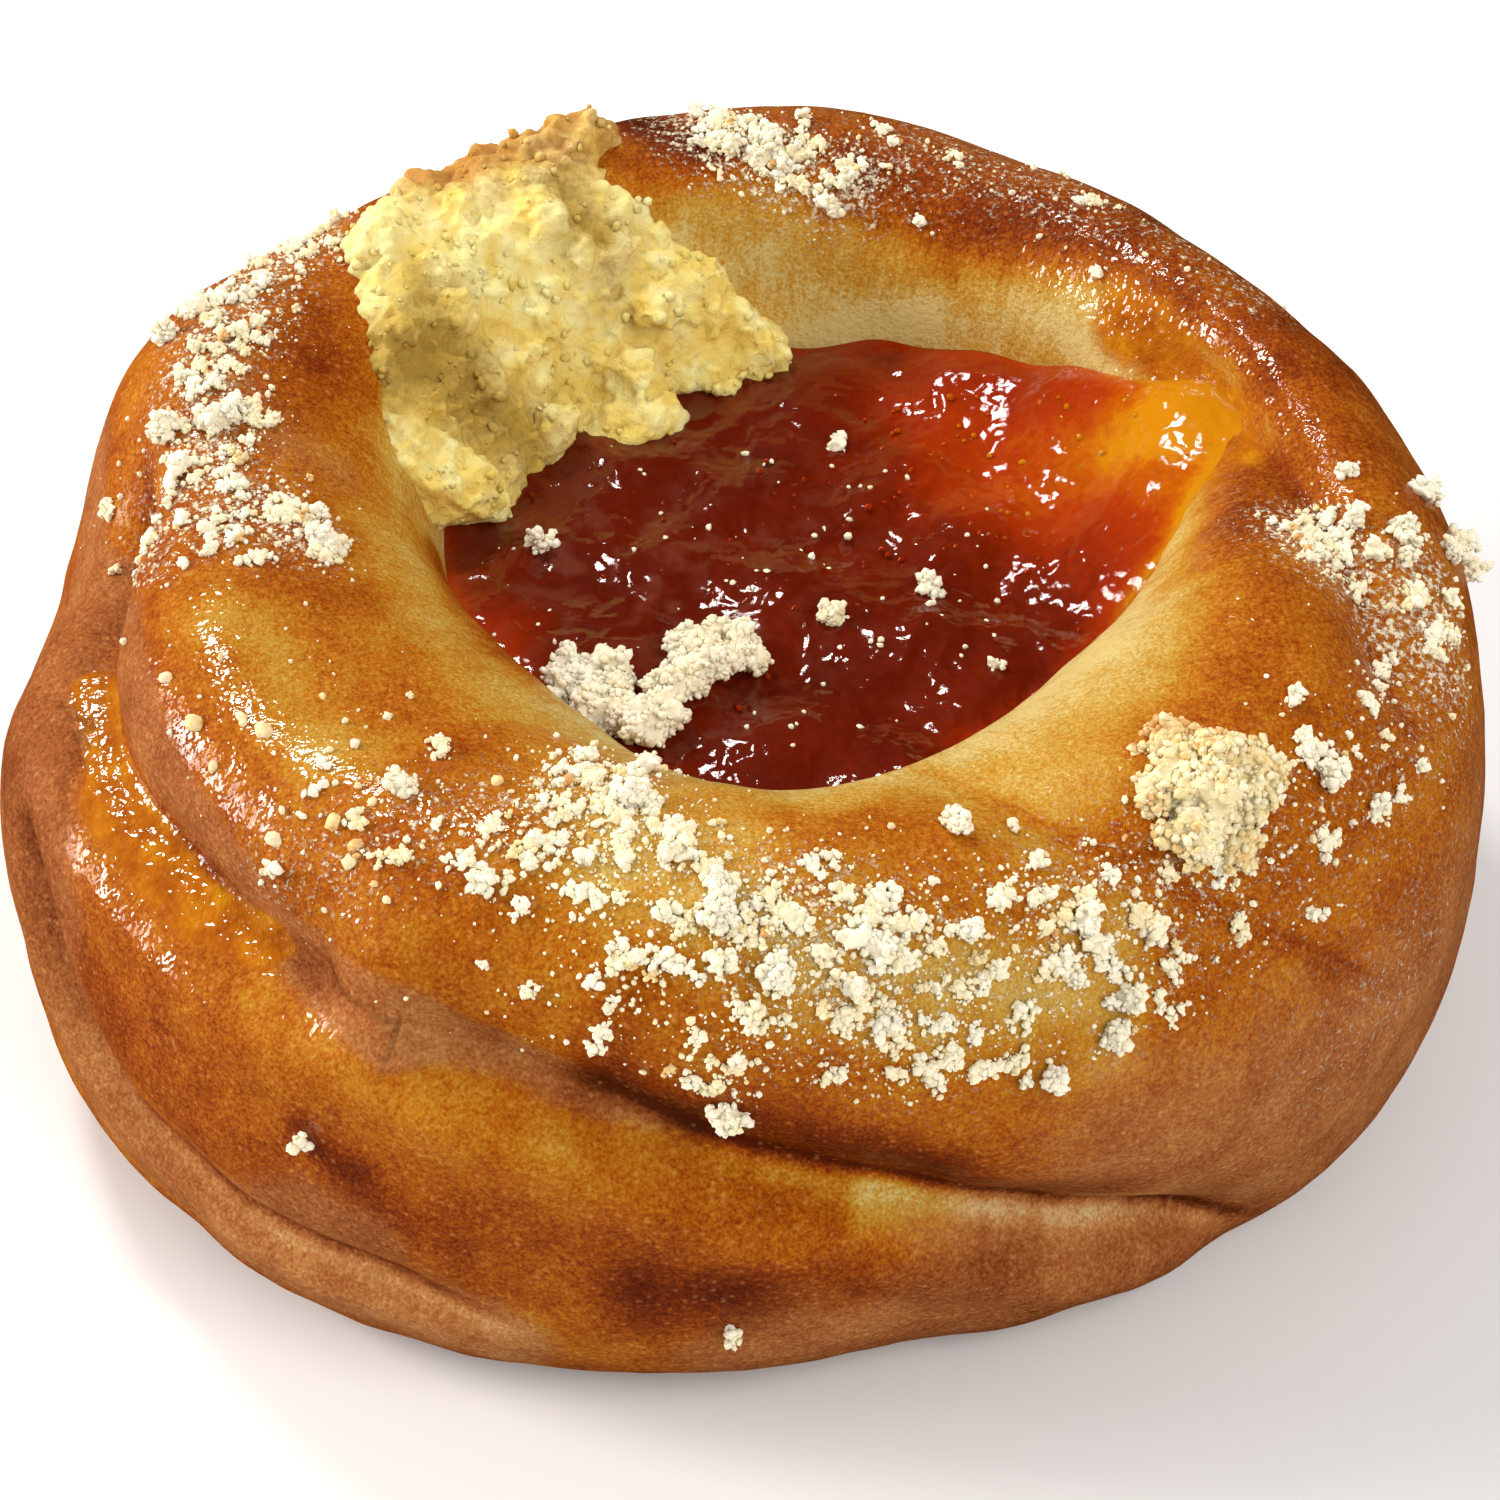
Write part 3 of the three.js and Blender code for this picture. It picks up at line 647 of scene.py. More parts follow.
def makeDough(material):
    columns = doughForm["columns"]
    turn = np.arange(columns) / columns * 2 * math.pi
    direction = turn - doughForm["crowding"] * np.sin(turn - math.radians(doughForm["crowdToward"]))
    angles = np.concatenate([np.linspace(a, b, steps, endpoint=False) for a, b, steps in doughForm["rows"]])
    angles = np.radians([*angles, doughForm["rows"][-1][1]])
    angleGrid, directionGrid = np.meshgrid(angles, direction, indexing="ij")
    rings = crustPoint(directionGrid, angleGrid).reshape(-1, 3)
    under = [*ring["centre"], 0]
    middle = np.array(ring["centre"]) + ring["wellCentre"]
    floor = [*middle, ring["floor"]]
    points = np.vstack([under, rings, floor])
    section = np.degrees(np.concatenate([[-math.pi / 2], angleGrid.ravel(), [math.pi]]))

    wander = 0.45 * layeredNoise(points, 9, 3, 5)
    plain = plainPoint(directionGrid, angleGrid).reshape(-1, 3)
    smooth = np.vstack([under, plain + [*ring["centre"], 0], floor])
    layers = ("bakeAndPaintedLight", "dry", "gloss", "amber", "flour")
    look = {name: strokeField(smooth, crustLook[name], wander) for name in layers}
    onTop, inWell, underneath = (crustLook[name] for name in ("bakeOnTop", "bakeInWell", "bakeUnder"))
    base = onTop + (inWell - onTop) * smoothStep(*crustLook["intoWell"], section)
    base = base + (underneath - onTop) * (1 - smoothStep(*crustLook["ontoTop"], section))
    mottle = 0.05 * layeredNoise(points, 11, 3, 9) + 0.13 * layeredNoise(points, 4, 3, 12)
    look["bakeAndPaintedLight"] = base + look["bakeAndPaintedLight"] + mottle
    look["dry"] = look["dry"] + 0.12 * layeredNoise(points, 3, 2, 16)
    look["gloss"] = 0.12 + look["gloss"] + 0.3 * layeredNoise(points, 3, 2, 14)
    normals = plainNormal(directionGrid, angleGrid).reshape(-1, 3)
    places = np.vstack([[0, 0, 0], plain, [0, 0, ring["floor"]]])
    seam = crustSeams(places, np.vstack([[0, 0, -1], normals, [0, 0, 1]]))
    # the painted crease shade and lip highlight from crustSeams are added here
    look["bakeAndPaintedLight"] += seam["shade"]
    along = np.arctan2(points[:, 1], points[:, 0])
    across = np.radians(section) * 16
    wallPlace = np.column_stack([np.cos(along) * 38, np.sin(along) * 38, across * 0.2])
    wallPlace += 0.8 * drift(points, 4, 41)
    wall = 1.2 * smoothStep(112, 135, section)
    onWall = wall > seam["stretch"]
    look["fibrePlace"] = np.where(onWall[:, None], wallPlace, seam["place"] * [0.16, 1.1, 1.0])
    look["fibre"] = np.maximum(wall, seam["stretch"]) * smoothStep(0, 0.2, np.abs(wall - seam["stretch"]))
    faces = wrapFaces(columns, len(angles))
    makePiece("crust", points, faces, material, ["dough"], look)


# Places along the creases, for fine stretch lines, and the painted shade and highlight at them, which go
# into the crust's colour
def crustSeams(points, normals):
    place = np.zeros((len(points), 3))
    best = np.full(len(points), np.inf)
    shade = np.zeros(len(points))
    stretch = np.zeros(len(points))
    for number, (name, crease) in enumerate(creases.items()):
        nearest, share, side = nearCrease(points, normals, crease)
        length = np.sum(np.linalg.norm(np.diff(crease["line"], axis=0), axis=1))
        closer = nearest < best
        signed = nearest * np.sign(side)
        place[closer] = np.stack([share * length, signed, np.full(len(points), number * 50)], -1)[closer]
        best = np.minimum(best, nearest)
        fade = smoothStep(0, 0.12, share) * smoothStep(0, 0.12, 1 - share)
        # paintedLip: how strongly the flank and foot creases get a dark line of painted shade just above the
        # lip and a pale line of painted highlight just below it
        paintedLip = {"flank": 1.0, "foot": 0.6}.get(name, 0) * fade * smoothStep(0.29, 0.40, share)
        # painted shade: the crust is drawn darker along every crease
        line = fade * 0.12 * hump(nearest / 1.1)
        shade += line * smoothStep(0.2, 0.36, share) if name == "flank" else line
        shade += paintedLip * (0.30 * hump((signed - 0.5) / 0.6) - 0.26 * hump((signed + 0.9) / 0.6))
        stretch = np.maximum(stretch, fade * hump(nearest / 3.5))
    return {"place": place, "shade": shade, "stretch": stretch}


def crustMaterial():
    s = Shader("crust")
    bakeAndPaintedLight, gloss, amber, flour = (s.attribute(name) for name in ("bakeAndPaintedLight", "gloss", "amber", "flour"))
    strands = s.grain(1.0, 3, 0.6, place=s.attributeVector("fibrePlace"))
    fibre = s.times(s.plus(strands, -0.5), s.attribute("fibre"))
    grit = s.grain(0.5, 3, 0.7)
    sand = s.plus(s.grain(0.26, 2, 0.6), -0.5)
    pore, poreTone = s.cells(0.62)
    pick = s.add("ShaderNodeSeparateColor", {0: poreTone}).outputs[0]
    dry = s.steps(s.plus(s.attribute("dry"), s.times(grit, 0.5)), 0.52, 0.95)

    speck = s.steps(bakeAndPaintedLight, 0.25, 0.55)
    blister = s.times(s.steps(pore, 0.42, 0.10), s.steps(pick, 0.5, 0.9))
    # the painted crease shade and highlights carry on into this value
    bakedAndPaintedLight = s.plus(bakeAndPaintedLight, s.times(s.plus(grit, -0.5), 0.30), s.times(fibre, 0.32),
                   s.times(pore, s.times(speck, 0.12)), s.times(sand, 0.60), -0.06)
    glazed = s.ramp(bakedAndPaintedLight, [
        (0.05, 210, 185, 117), (0.22, 194, 150, 61), (0.38, 183, 121, 28), (0.52, 171, 92, 10),
        (0.66, 146, 66, 4), (0.80, 117, 43, 3), (1.0, 82, 24, 2),
    ])
    unglazed = s.ramp(bakedAndPaintedLight, [
        (0.10, 206, 176, 125), (0.38, 182, 123, 68), (0.58, 157, 90, 43),
        (0.78, 125, 61, 21), (1.0, 82, 31, 5),
    ])
    shade = s.mix(dry, glazed, unglazed)
    wax = s.grain(2.0, 3, 0.6)
    amberShade = s.ramp(wax, [
        (0.3, 155, 74, 1), (0.55, 182, 103, 1), (0.8, 205, 137, 9),
    ])
    film = s.steps(s.plus(amber, s.times(wax, 0.3)), 0.45, 0.85)
    shade = s.mix(film, shade, amberShade)
    shade = s.mix(s.times(blister, speck, 0.16), shade, color(240, 176, 112))
    dusted = s.times(s.steps(s.plus(grit, s.times(flour, 0.34)), 0.62, 0.78), s.steps(flour, 0.04, 0.3))
    shade = s.mix(s.times(dusted, 0.8), shade, color(246, 232, 200))

    foil = s.plus(0.25, s.times(s.steps(s.grain(2.4, 2, 0.5), 0.38, 0.56), 0.75))
    shine = s.times(gloss, s.math("SUBTRACT", 1.0, dry), foil)
    s.set(Base_Color=shade, Roughness=s.plus(0.5, s.times(dusted, 0.2)), Specular_IOR_Level=0.06)
    coat = s.math("SUBTRACT", s.plus(shine, film), dusted, clamp=True)
    s.set(Coat_Weight=coat, Coat_Roughness=0.05, Coat_IOR=1.5)
    s.set(Normal=s.bump((fibre, 0.12), (pore, -0.07), (grit, 0.14), (sand, 0.08), (dusted, 0.06)))
    s.set(Coat_Normal=s.bump((s.grain(0.65, 1, 0.5), 0.13), (fibre, 0.06)))
    return s.material


# the jam's finish

jamLook = {
    "columns": 400, "rows": 96, "intoWall": 0.9,
    "folds": [(9.0, 0.45), (3.6, 0.22), (1.6, 0.09)],  # (size, depth) of the wrinkles in its skin
    # warm colour painted where light shines through the jam and where it is thin, partly the jam's own
    # orange: (x, y, reach, amount)
    "glow": [
        (22, 12, 8.0, 0.55), (16, 20, 7.0, 0.32), (31, 14, 7.0, 0.55), (34, 6, 8.0, 0.45), (30, -3, 6, 0.4),
        (12, 23, 6, 0.15), (-17, -4, 5.0, 0.25), (2, -14, 4.0, 0.12), (16, -14, 5, 0.12), (9, 8, 8, 0.06),
        (36, 12, 5, 0.3),
    ],
    # where its skin is dull, drawn greyish as a painted sheen on it
    "skin": [(-8, 6, 11, 0.9), (-2, -6, 9, 0.7), (8, 4, 8, 0.25), (4, 12, 7, 0.3), (-14, 2, 7, 0.6)],
    "beads": 110, "beadSizes": (0.12, 0.34),
    # where they crowd: (x, spread), (y, spread), one in so many
    "beadCrowds": [((16, 8), (14, 7), 1), ((-2, 9), (3, 7), 3)],
}


# Where the jam's skin meets the well's wall, for each direction round the ring
def jamEdge(direction):
    angle = np.radians(np.linspace(94, 178, 120))
    wall = crustPoint(direction[:, None], angle[None, :])
    under = jamHeight(wall[..., 0], wall[..., 1]) - wall[..., 2]
    first = np.clip(np.argmax(under > 0, axis=1), 1, len(angle) - 1)
    rows = np.arange(len(direction))
    before, after = under[rows, first - 1], under[rows, first]
    share = np.clip(before / (before - after), 0, 1)[:, None]
    return wall[rows, first - 1] * (1 - share) + wall[rows, first] * share


def spotField(x, y, spots):
    return sum(amount * np.exp(-((x - a) ** 2 + (y - b) ** 2) / reach**2) for a, b, reach, amount in spots)


def makeJam(material):
    columns, rows = jamLook["columns"], jamLook["rows"]
    middle = np.array(ring["centre"]) + ring["wellCentre"]
    edge = jamEdge(np.arange(columns) / columns * 2 * math.pi)[:, :2]
    outward = unitRows(edge - middle)
    edge = edge + outward * jamLook["intoWall"]
    share = np.linspace(1, 0.006, rows)[:, None, None] ** 0.85
    flat = (middle + (edge - middle)[None] * share).reshape(-1, 2)
    height = jamHeight(flat[:, 0], flat[:, 1])
    skin = np.column_stack([flat, height])
    inner = smoothStep(0, 0.10, 1 - np.repeat(share.ravel(), columns))
    bent = skin + 1.4 * drift(skin, 5, 31)
    for seed, (size, depth) in enumerate(jamLook["folds"]):
        folds = noise(bent * [1.0, 0.7, 1.0], size, 20 + seed)
        skin[:, 2] += inner * depth * (0.55 - 1.6 * np.abs(folds))
    bottom = np.column_stack([middle + (edge - middle) * 0.9, np.full(columns, ring["floor"] - 0.5)])
    low = np.array([*middle, ring["floor"] - 0.5])
    high = np.array([*middle, skin[-columns:, 2].mean()])
    points = np.vstack([low, bottom, skin, high])
    width = np.linalg.norm(edge - middle, axis=1)
    inset = np.concatenate([[40], np.zeros(columns), ((1 - share[:, 0]) * width).ravel(), [30]])
    bentOver = points + 2.0 * drift(points, 4, 33)
    x, y = points[:, 0], points[:, 1]
    dull = smoothStep(-0.1, 0.5, layeredNoise(bentOver, 2.4, 4, 47))
    values = {
        "thin": np.exp(-np.maximum(inset - 0.9, 0) / 1.5),
        "glow": spotField(x, y, jamLook["glow"]) + 0.14 * layeredNoise(bentOver, 5, 4, 44),
        "skin": spotField(x, y, jamLook["skin"]) * dull,
    }
    makePiece("jam_fill", points, wrapFaces(columns, rows + 1), material, ["jam"], values)


def jamMaterial():
    s = Shader("jam")
    glow, thin, skin = s.attribute("glow"), s.attribute("thin"), s.attribute("skin")
    grit = s.grain(0.7, 3, 0.65)
    # warm: the painted glow of light through the jam, lighter still near its thin edge
    warm = s.plus(glow, s.times(thin, 0.45), s.times(s.plus(grit, -0.5), 0.3), 0.06)
    shade = s.ramp(warm, [
        (0.0, 90, 18, 2), (0.24, 110, 26, 1), (0.46, 144, 37, 0),
        (0.68, 162, 50, 0), (0.86, 180, 85, 0), (1.0, 197, 125, 4),
    ])
    # greyish colour on the dull skin: a painted sheen
    shade = s.mix(s.math("MULTIPLY", skin, 0.34, clamp=True), shade, color(123, 66, 48))
    s.set(Base_Color=shade, Roughness=0.5, Specular_IOR_Level=0.03)
    s.set(Coat_Weight=s.math("SUBTRACT", 0.8, s.times(skin, 0.7), clamp=True), Coat_Roughness=0.04)
    s.set(Subsurface_Weight=0.3, Subsurface_Radius=(1.0, 0.25, 0.06), Subsurface_Scale=2.0 * mm)
    relief = s.bump((s.grain(1.5, 1, 0.5), 0.22), (grit, 0.03))
    s.set(Normal=relief, Coat_Normal=relief)
    return s.material


# Tiny bubbles in the jam's skin
def makeBeads(material):
    rng = np.random.default_rng(61)
    count = jamLook["beads"]
    crowds = jamLook["beadCrowds"]
    x = np.concatenate([rng.normal(*across, count // part) for across, _, part in crowds])
    y = np.concatenate([rng.normal(*deep, count // part) for _, deep, part in crowds])
    edge = jamEdge(np.arctan2(y, x - 1))
    inside = np.hypot(x, y) < np.hypot(edge[:, 0], edge[:, 1]) - 0.5
    x, y = x[inside], y[inside]
    radius = rng.uniform(*jamLook["beadSizes"], len(x)) * rng.uniform(0.6, 1.0, len(x))
    middles = np.column_stack([x, y, jamHeight(x, y) + 0.1])
    points, faces = grains(rng, middles, radius, 2, 0.03, 0.25)
    # the bubbles are drawn lighter than the jam under them, a painted highlight of their glints
    glow = spotField(middles[:, 0], middles[:, 1], jamLook["glow"]) + 0.3
    blank = np.zeros(len(points))
    values = {"glow": perPoint(glow, 2), "thin": blank, "skin": blank}
    makePiece("beads", points, faces, material, (), values)


# the patch of crumble

crumbleLook = {
    "bedColumns": 120, "bedRows": 26, "voxel": 0.27,
    "rolls": [(9.0, 0.8), (4.5, 0.7)],  # (size, depth) of the unevenness of the mass itself
    "crags": [(2.8, 0.46), (1.5, 0.38), (0.7, 0.15)],  # and of its broken skin
    # lumps in it: turn toward the outline and its spread, shares of the way out, how many,
    # smallest and largest radius
    "lumps": [
        (0.44, 0.05, 0.45, 0.95, 24, 0.9, 2.3), (0.34, 0.06, 0.5, 0.95, 22, 0.8, 2.0),
        (0.22, 0.05, 0.4, 0.9, 20, 0.7, 1.9), (0.52, 0.05, 0.2, 0.95, 120, 0.3, 0.9),
        (0.62, 0.05, 0.3, 0.97, 90, 0.3, 0.8), (0.08, 0.06, 0.3, 0.95, 80, 0.3, 1.1),
        (0.98, 0.05, 0.5, 0.97, 40, 0.3, 0.9), (0.79, 0.03, 0.75, 1.0, 30, 0.5, 1.4),
        (0.30, 0.5, 0.0, 0.5, 70, 0.4, 1.5), (0.50, 0.5, 0.0, 0.96, 1000, 0.4, 1.0),
    ],
    # strokes of colour, as on the crust
    "pale": [
        ([(131, 88), (128, 108), (125, 126)], 6, 0.5), ([(112, 108), (106, 128)], 7, 0.25),
        ([(140, 86), (147, 94), (152, 100)], 5, 0.6),
    ],
    # painted shade: these strokes darken where the patch lies in shade and in its deep hollows
    "paintedShadeOlive": [
        ([(150, 132), (149, 146), (146, 158)], 6, 1.0), ([(142, 104), (139, 118)], 2.6, 0.45),
        ([(118, 104), (116, 124)], 4, 0.8), ([(116, 150), (124, 160), (122, 170)], 5, 0.5),
        ([(160, 114), (162, 124)], 3, 0.4),
    ],
    "tan": [([(108, 80), (114, 80), (124, 80)], 5.5, 1.0), ([(130, 80), (138, 84)], 4, 0.5)],
    "grit": 620, "gritSizes": (0.25, 0.9),
}


def patchPlace(turn, share):
    direction, angle = (
        middle + share * (around(patchForm[name], turn * 2 * math.pi) - middle)
        for middle, name in zip(patchForm["middle"], ("directions", "angles"))
    )
    return np.radians(direction), np.radians(angle)


def bedLift(angle, share):
    foot = smoothStep(patchForm["footFrom"], patchForm["footTo"], np.degrees(angle))
    thickness = patchForm["thickness"] + (patchForm["footThickness"] - patchForm["thickness"]) * foot
    return thickness * (1 - (1 - foot) * share**3) - 0.4


def patchLumps():
    draw = makeDraw(23)
    large = np.array(patchForm["large"])
    onCrust = crustPoint(np.radians(large[:, 0]), np.radians(large[:, 1]), large[:, 3], finely=False)
    lumps = [(*middle, radius) for middle, radius in zip(onCrust, large[:, 2])]
    for i in range(patchForm["lumps"]):
        share = math.sqrt((i + 0.5) / patchForm["lumps"])
        direction, angle = patchPlace(i * 0.381966, 0.94 * share)
        radius = patchForm["smallest"] + (patchForm["largest"] - patchForm["smallest"]) * draw() ** 1.5
        lift = max(bedLift(angle, share) - 0.35 * radius + 0.9 * draw(), 0.4)
        lumps.append((*crustPoint(direction, angle, lift, finely=False), radius))
    return np.array(lumps)


# The mass under the lumps, as one closed surface
def patchBed():
    columns = crumbleLook["bedColumns"]
    below = [(share, False) for share in (0.4, 0.75, 1)]
    rows = below + [(share, True) for share in np.linspace(1, 0.06, crumbleLook["bedRows"])]
    turn = np.arange(columns) / columns
    rings = []
    for share, onTop in rows:
        direction, angle = patchPlace(turn, share)
        rings.append(crustPoint(direction, angle, bedLift(angle, share) if onTop else -1.5))
    direction, angle = patchPlace(np.zeros(1), 0)
    points = np.vstack([crustPoint(direction, angle, -1.5), *rings,
                        crustPoint(direction, angle, bedLift(angle, 0))])
    return points, wrapFaces(columns, len(rows))


# One skin over everything that overlaps
def remeshed(points, faces, voxel):
    mesh = bpy.data.meshes.new("rough")
    mesh.from_pydata(points.tolist(), [], faces.tolist())
    rough = bpy.data.objects.new("rough", mesh)
    bpy.context.scene.collection.objects.link(rough)
    remesh = rough.modifiers.new("skin", "REMESH")
    remesh.mode = "VOXEL"
    remesh.voxel_size = voxel
    result = rough.evaluated_get(bpy.context.evaluated_depsgraph_get()).to_mesh()
    result.calc_loop_triangles()
    skin = np.zeros(len(result.vertices) * 3)
    result.vertices.foreach_get("co", skin)
    triangles = np.zeros(len(result.loop_triangles) * 3, np.int32)
    result.loop_triangles.foreach_get("vertices", triangles)
    normals = np.zeros(len(result.vertices) * 3)
    result.vertices.foreach_get("normal", normals)
    bpy.data.objects.remove(rough)
    return skin.reshape(-1, 3), triangles.reshape(-1, 3), normals.reshape(-1, 3)


def cragged(points, normals, layers, seed):
    points = points + 0.25 * np.column_stack([noise(points, 0.9, seed + k) for k in (5, 6, 7)])
    push = np.zeros(len(points))
    for number, (size, depth) in enumerate(layers):
        push += depth * (cellHumps(points, size, seed + number) - 0.4)
    return points + normals * push[:, None]


# A skin with small grains stuck to it
def gritted(rng, points, faces, normals, count, sizes):
    weight = 0.12 + smoothStep(-0.4, 0.5, layeredNoise(points, 4, 2, 81))
    picked = rng.choice(len(points), count, replace=False, p=weight / weight.sum())
    size = sizes[0] + (sizes[1] - sizes[0]) * rng.uniform(0, 1, count) ** 2
    raised = points[picked] + 0.25 * size[:, None] * normals[picked]
    more, moreFaces = grains(rng, raised, size / 2, 1, 0.3, 0.3)
    own = np.append(np.zeros(len(points)), perPoint(rng.uniform(-1, 1, count)))
    return np.vstack([points, more]), np.vstack([faces, moreFaces + len(points)]), own


def makeCrumble(material):
    rng = np.random.default_rng(19)
    solidLumps = patchLumps()
    middles, sizes = [], []
    for turn, spread, near, far, count, small, large in crumbleLook["lumps"]:
        size = small + (large - small) * rng.uniform(0, 1, count) ** 1.8
        share = np.sqrt(rng.uniform(near**2, far**2, count)) - 0.012 * size
        direction, angle = patchPlace(turn + spread * rng.normal(size=count), share)
        middles.append(crustPoint(direction, angle, bedLift(angle, share) - 0.12 * size))
        sizes.append(size)
    middles, sizes = np.vstack(middles), np.concatenate(sizes)
    points, faces = patchBed()
    roll = sum(depth * noise(points, size, 90 + k) for k, (size, depth) in enumerate(crumbleLook["rolls"]))
    points = points + unitRows(points - [0, 0, 20]) * roll[:, None]
    solidLumps[:, :3] -= unitRows(solidLumps[:, :3] - [0, 0, 20]) * 0.5
    for middle, size, divisions in ((solidLumps[:, :3], solidLumps[:, 3], 3), (middles, sizes, 2)):
        more, moreFaces = grains(rng, middle, size, divisions, 0.12, 0.32)
        faces = np.vstack([faces, moreFaces + len(points)])
        points = np.vstack([points, more])
    points, faces, normals = remeshed(points, faces, crumbleLook["voxel"])
    points = cragged(points, normals, crumbleLook["crags"], 70)
    points, faces, own = gritted(rng, points, faces, normals, crumbleLook["grit"], crumbleLook["gritSizes"])
    wander = 0.5 * layeredNoise(points, 5, 3, 15)
    values = {name: strokeField(points, crumbleLook[name], wander) for name in ("pale", "paintedShadeOlive", "tan")}
    # darker between the humps of the largest crags (the same size and seed as in cragged): painted shade in
    # their gaps; the noise and own vary at random
    tone = 0.20 * layeredNoise(points, 3, 3, 36) + 0.40 * cellHumps(points, 2.8, 70)
    values["tone"] = 0.5 + tone + 0.10 * own
    makePiece("crumble", points, faces, material, ["crumble_patch"], values)


def crumbleMaterial():
    s = Shader("crumble")
    pale, paintedShadeOlive, tan = s.attribute("pale"), s.attribute("paintedShadeOlive"), s.attribute("tan")
    grit = s.grain(0.7, 4, 0.65)
    # tone carries the painted shade in the gaps between the crags
    tone = s.plus(s.attribute("tone"), s.times(s.plus(grit, -0.5), 0.55), s.times(pale, 0.28))
    shade = s.ramp(tone, [
        (0.14, 196, 146, 52), (0.34, 232, 194, 90), (0.58, 244, 216, 117),
        (0.86, 253, 238, 166),
    ])
    ragged = s.times(s.plus(grit, -0.5), 0.7)
    # olive colour: painted shade
    shade = s.mix(s.steps(s.plus(paintedShadeOlive, ragged), 0.12, 0.9), shade, color(178, 143, 62))
    shade = s.mix(s.steps(s.plus(tan, ragged), 0.2, 0.9), shade, color(194, 140, 68))
    s.set(Base_Color=shade, Roughness=0.7, Subsurface_Weight=0.3, Subsurface_Scale=1.5 * mm)
    s.set(Subsurface_Radius=(1.0, 0.75, 0.3), Specular_IOR_Level=0.15)
    s.set(Normal=s.bump((grit, 0.38)))
    return s.material


# crumbs

# shares of a crumb's radius: its middle grain, the grains round it and how far they reach;
# and how many of them hang on another
cluster = {"core": (0.5, 0.68), "grain": (0.16, 0.42), "reach": 1.15, "chained": 0.35}
crumbSkin = {"voxel": 0.23, "crags": [(1.2, 0.22), (0.55, 0.16)], "grit": 0.20, "gritSizes": (0.25, 0.8)}


# Each crumb as a knobbly cluster: one grain in its middle and smaller ones stuck round it
def clusterGrains(rng, middles, radii, normals, most):
    places, sizes, owner = [], [], []
    for i, (middle, radius, normal) in enumerate(zip(middles, radii, normals)):
        core = radius * rng.uniform(*cluster["core"])
        places.append(middle)
        sizes.append(core)
        owner.append(i)
        chain = [(middle, core)]
        for _ in range(rng.integers(most // 2, most + 1)):
            chained = rng.uniform() < cluster["chained"]
            start, startSize = chain[rng.integers(len(chain))] if chained else chain[0]
            way = unitRows(rng.normal(size=3) + 0.25 * normal)
            size = radius * rng.uniform(*cluster["grain"])
            spot = start + way * (startSize * 0.85 + size * 0.35)
            if np.linalg.norm(spot - middle) > cluster["reach"] * radius:
                continue
            places.append(spot)
            sizes.append(size)
            owner.append(i)
            chain.append((spot, size))
    return np.array(places), np.array(sizes), np.array(owner)


# Crumbs large enough for their surface to show: clusters under one craggy skin
def roughLumps(name, rng, middles, radii, normals, material, most, replaces=(), yellow=0.16):
    places, sizes, _ = clusterGrains(rng, middles, radii, normals, most)
    points, faces = grains(rng, places, sizes, 2, 0.15, 0.3)
    points, faces, outward = remeshed(points, faces, crumbSkin["voxel"])
    points = cragged(points, outward, crumbSkin["crags"], 120)
    count = round(len(points) * crumbSkin["grit"])
    points, faces, own = gritted(rng, points, faces, outward, count, crumbSkin["gritSizes"])
    tint = yellow + 0.4 * layeredNoise(points, 5.0, 2, 60) + 0.2 * own
    makePiece(name, points, faces, material, replaces, {"tint": tint})


# Loose grains as one piece; those with the same owner share a tint from low to high
def scatter(name, rng, middles, radii, material, tints, shape=(1, 0.3, 0.3), owner=None, smooth=False):
    points, faces = grains(rng, middles, radii, *shape)
    owner = np.arange(len(middles)) if owner is None else owner
    low, high, power = tints
    tint = low + (high - low) * rng.uniform(0, 1, owner.max() + 1) ** power
    makePiece(name, points, faces, material, (), {"tint": perPoint(tint[owner], shape[0])}, smooth)


# Point and outward direction on the crust, for places in degrees
def surfaceAt(direction, angle, lift=0.0):
    direction, angle = np.radians(direction), np.radians(angle)
    return crustPoint(direction, angle, lift), plainNormal(direction, angle)


# Places from one place on the crust to another, the short way round
def along(start, end, share):
    span = (end[0] - start[0] + 540) % 360 - 180, end[1] - start[1]
    return np.asarray(start) + np.multiply.outer(share, span)


# The large crumbs of the solid, in their places: middles, radii, outward directions
def solidCrumbs():
    draw = makeDraw(41)

    def bell():
        return (draw() + draw() + draw() - 1.5) * 1.6

    places = list(singles)
    for start, end, stray, count in sprinkles:
        for _ in range(count):
            share = draw()
            direction, angle = along(start, end, share) + [stray[0] * bell(), stray[1] * bell()]
            places.append((direction, angle, crumbSizes[0] + (crumbSizes[1] - crumbSizes[0]) * draw() ** 2))
    places = np.array(sorted(places, key=lambda place: -place[2]))
    middles, normals = surfaceAt(places[:, 0], places[:, 1], places[:, 2] * (0.5 - crumbSink))
    heap = np.array(crustHeap)
    taken = np.vstack([
        patchLumps(),
        np.column_stack([surfaceAt(heap[:, 0], heap[:, 1], heap[:, 3])[0], heap[:, 2]]),
    ])
    apart = np.linalg.norm(middles[:, None] - taken[None, :, :3], axis=2)
    clear = np.all(apart > taken[None, :, 3] + places[:, None, 2] / 2 + 1.2, axis=1)
    return middles[clear], places[clear, 2] / 2, normals[clear]


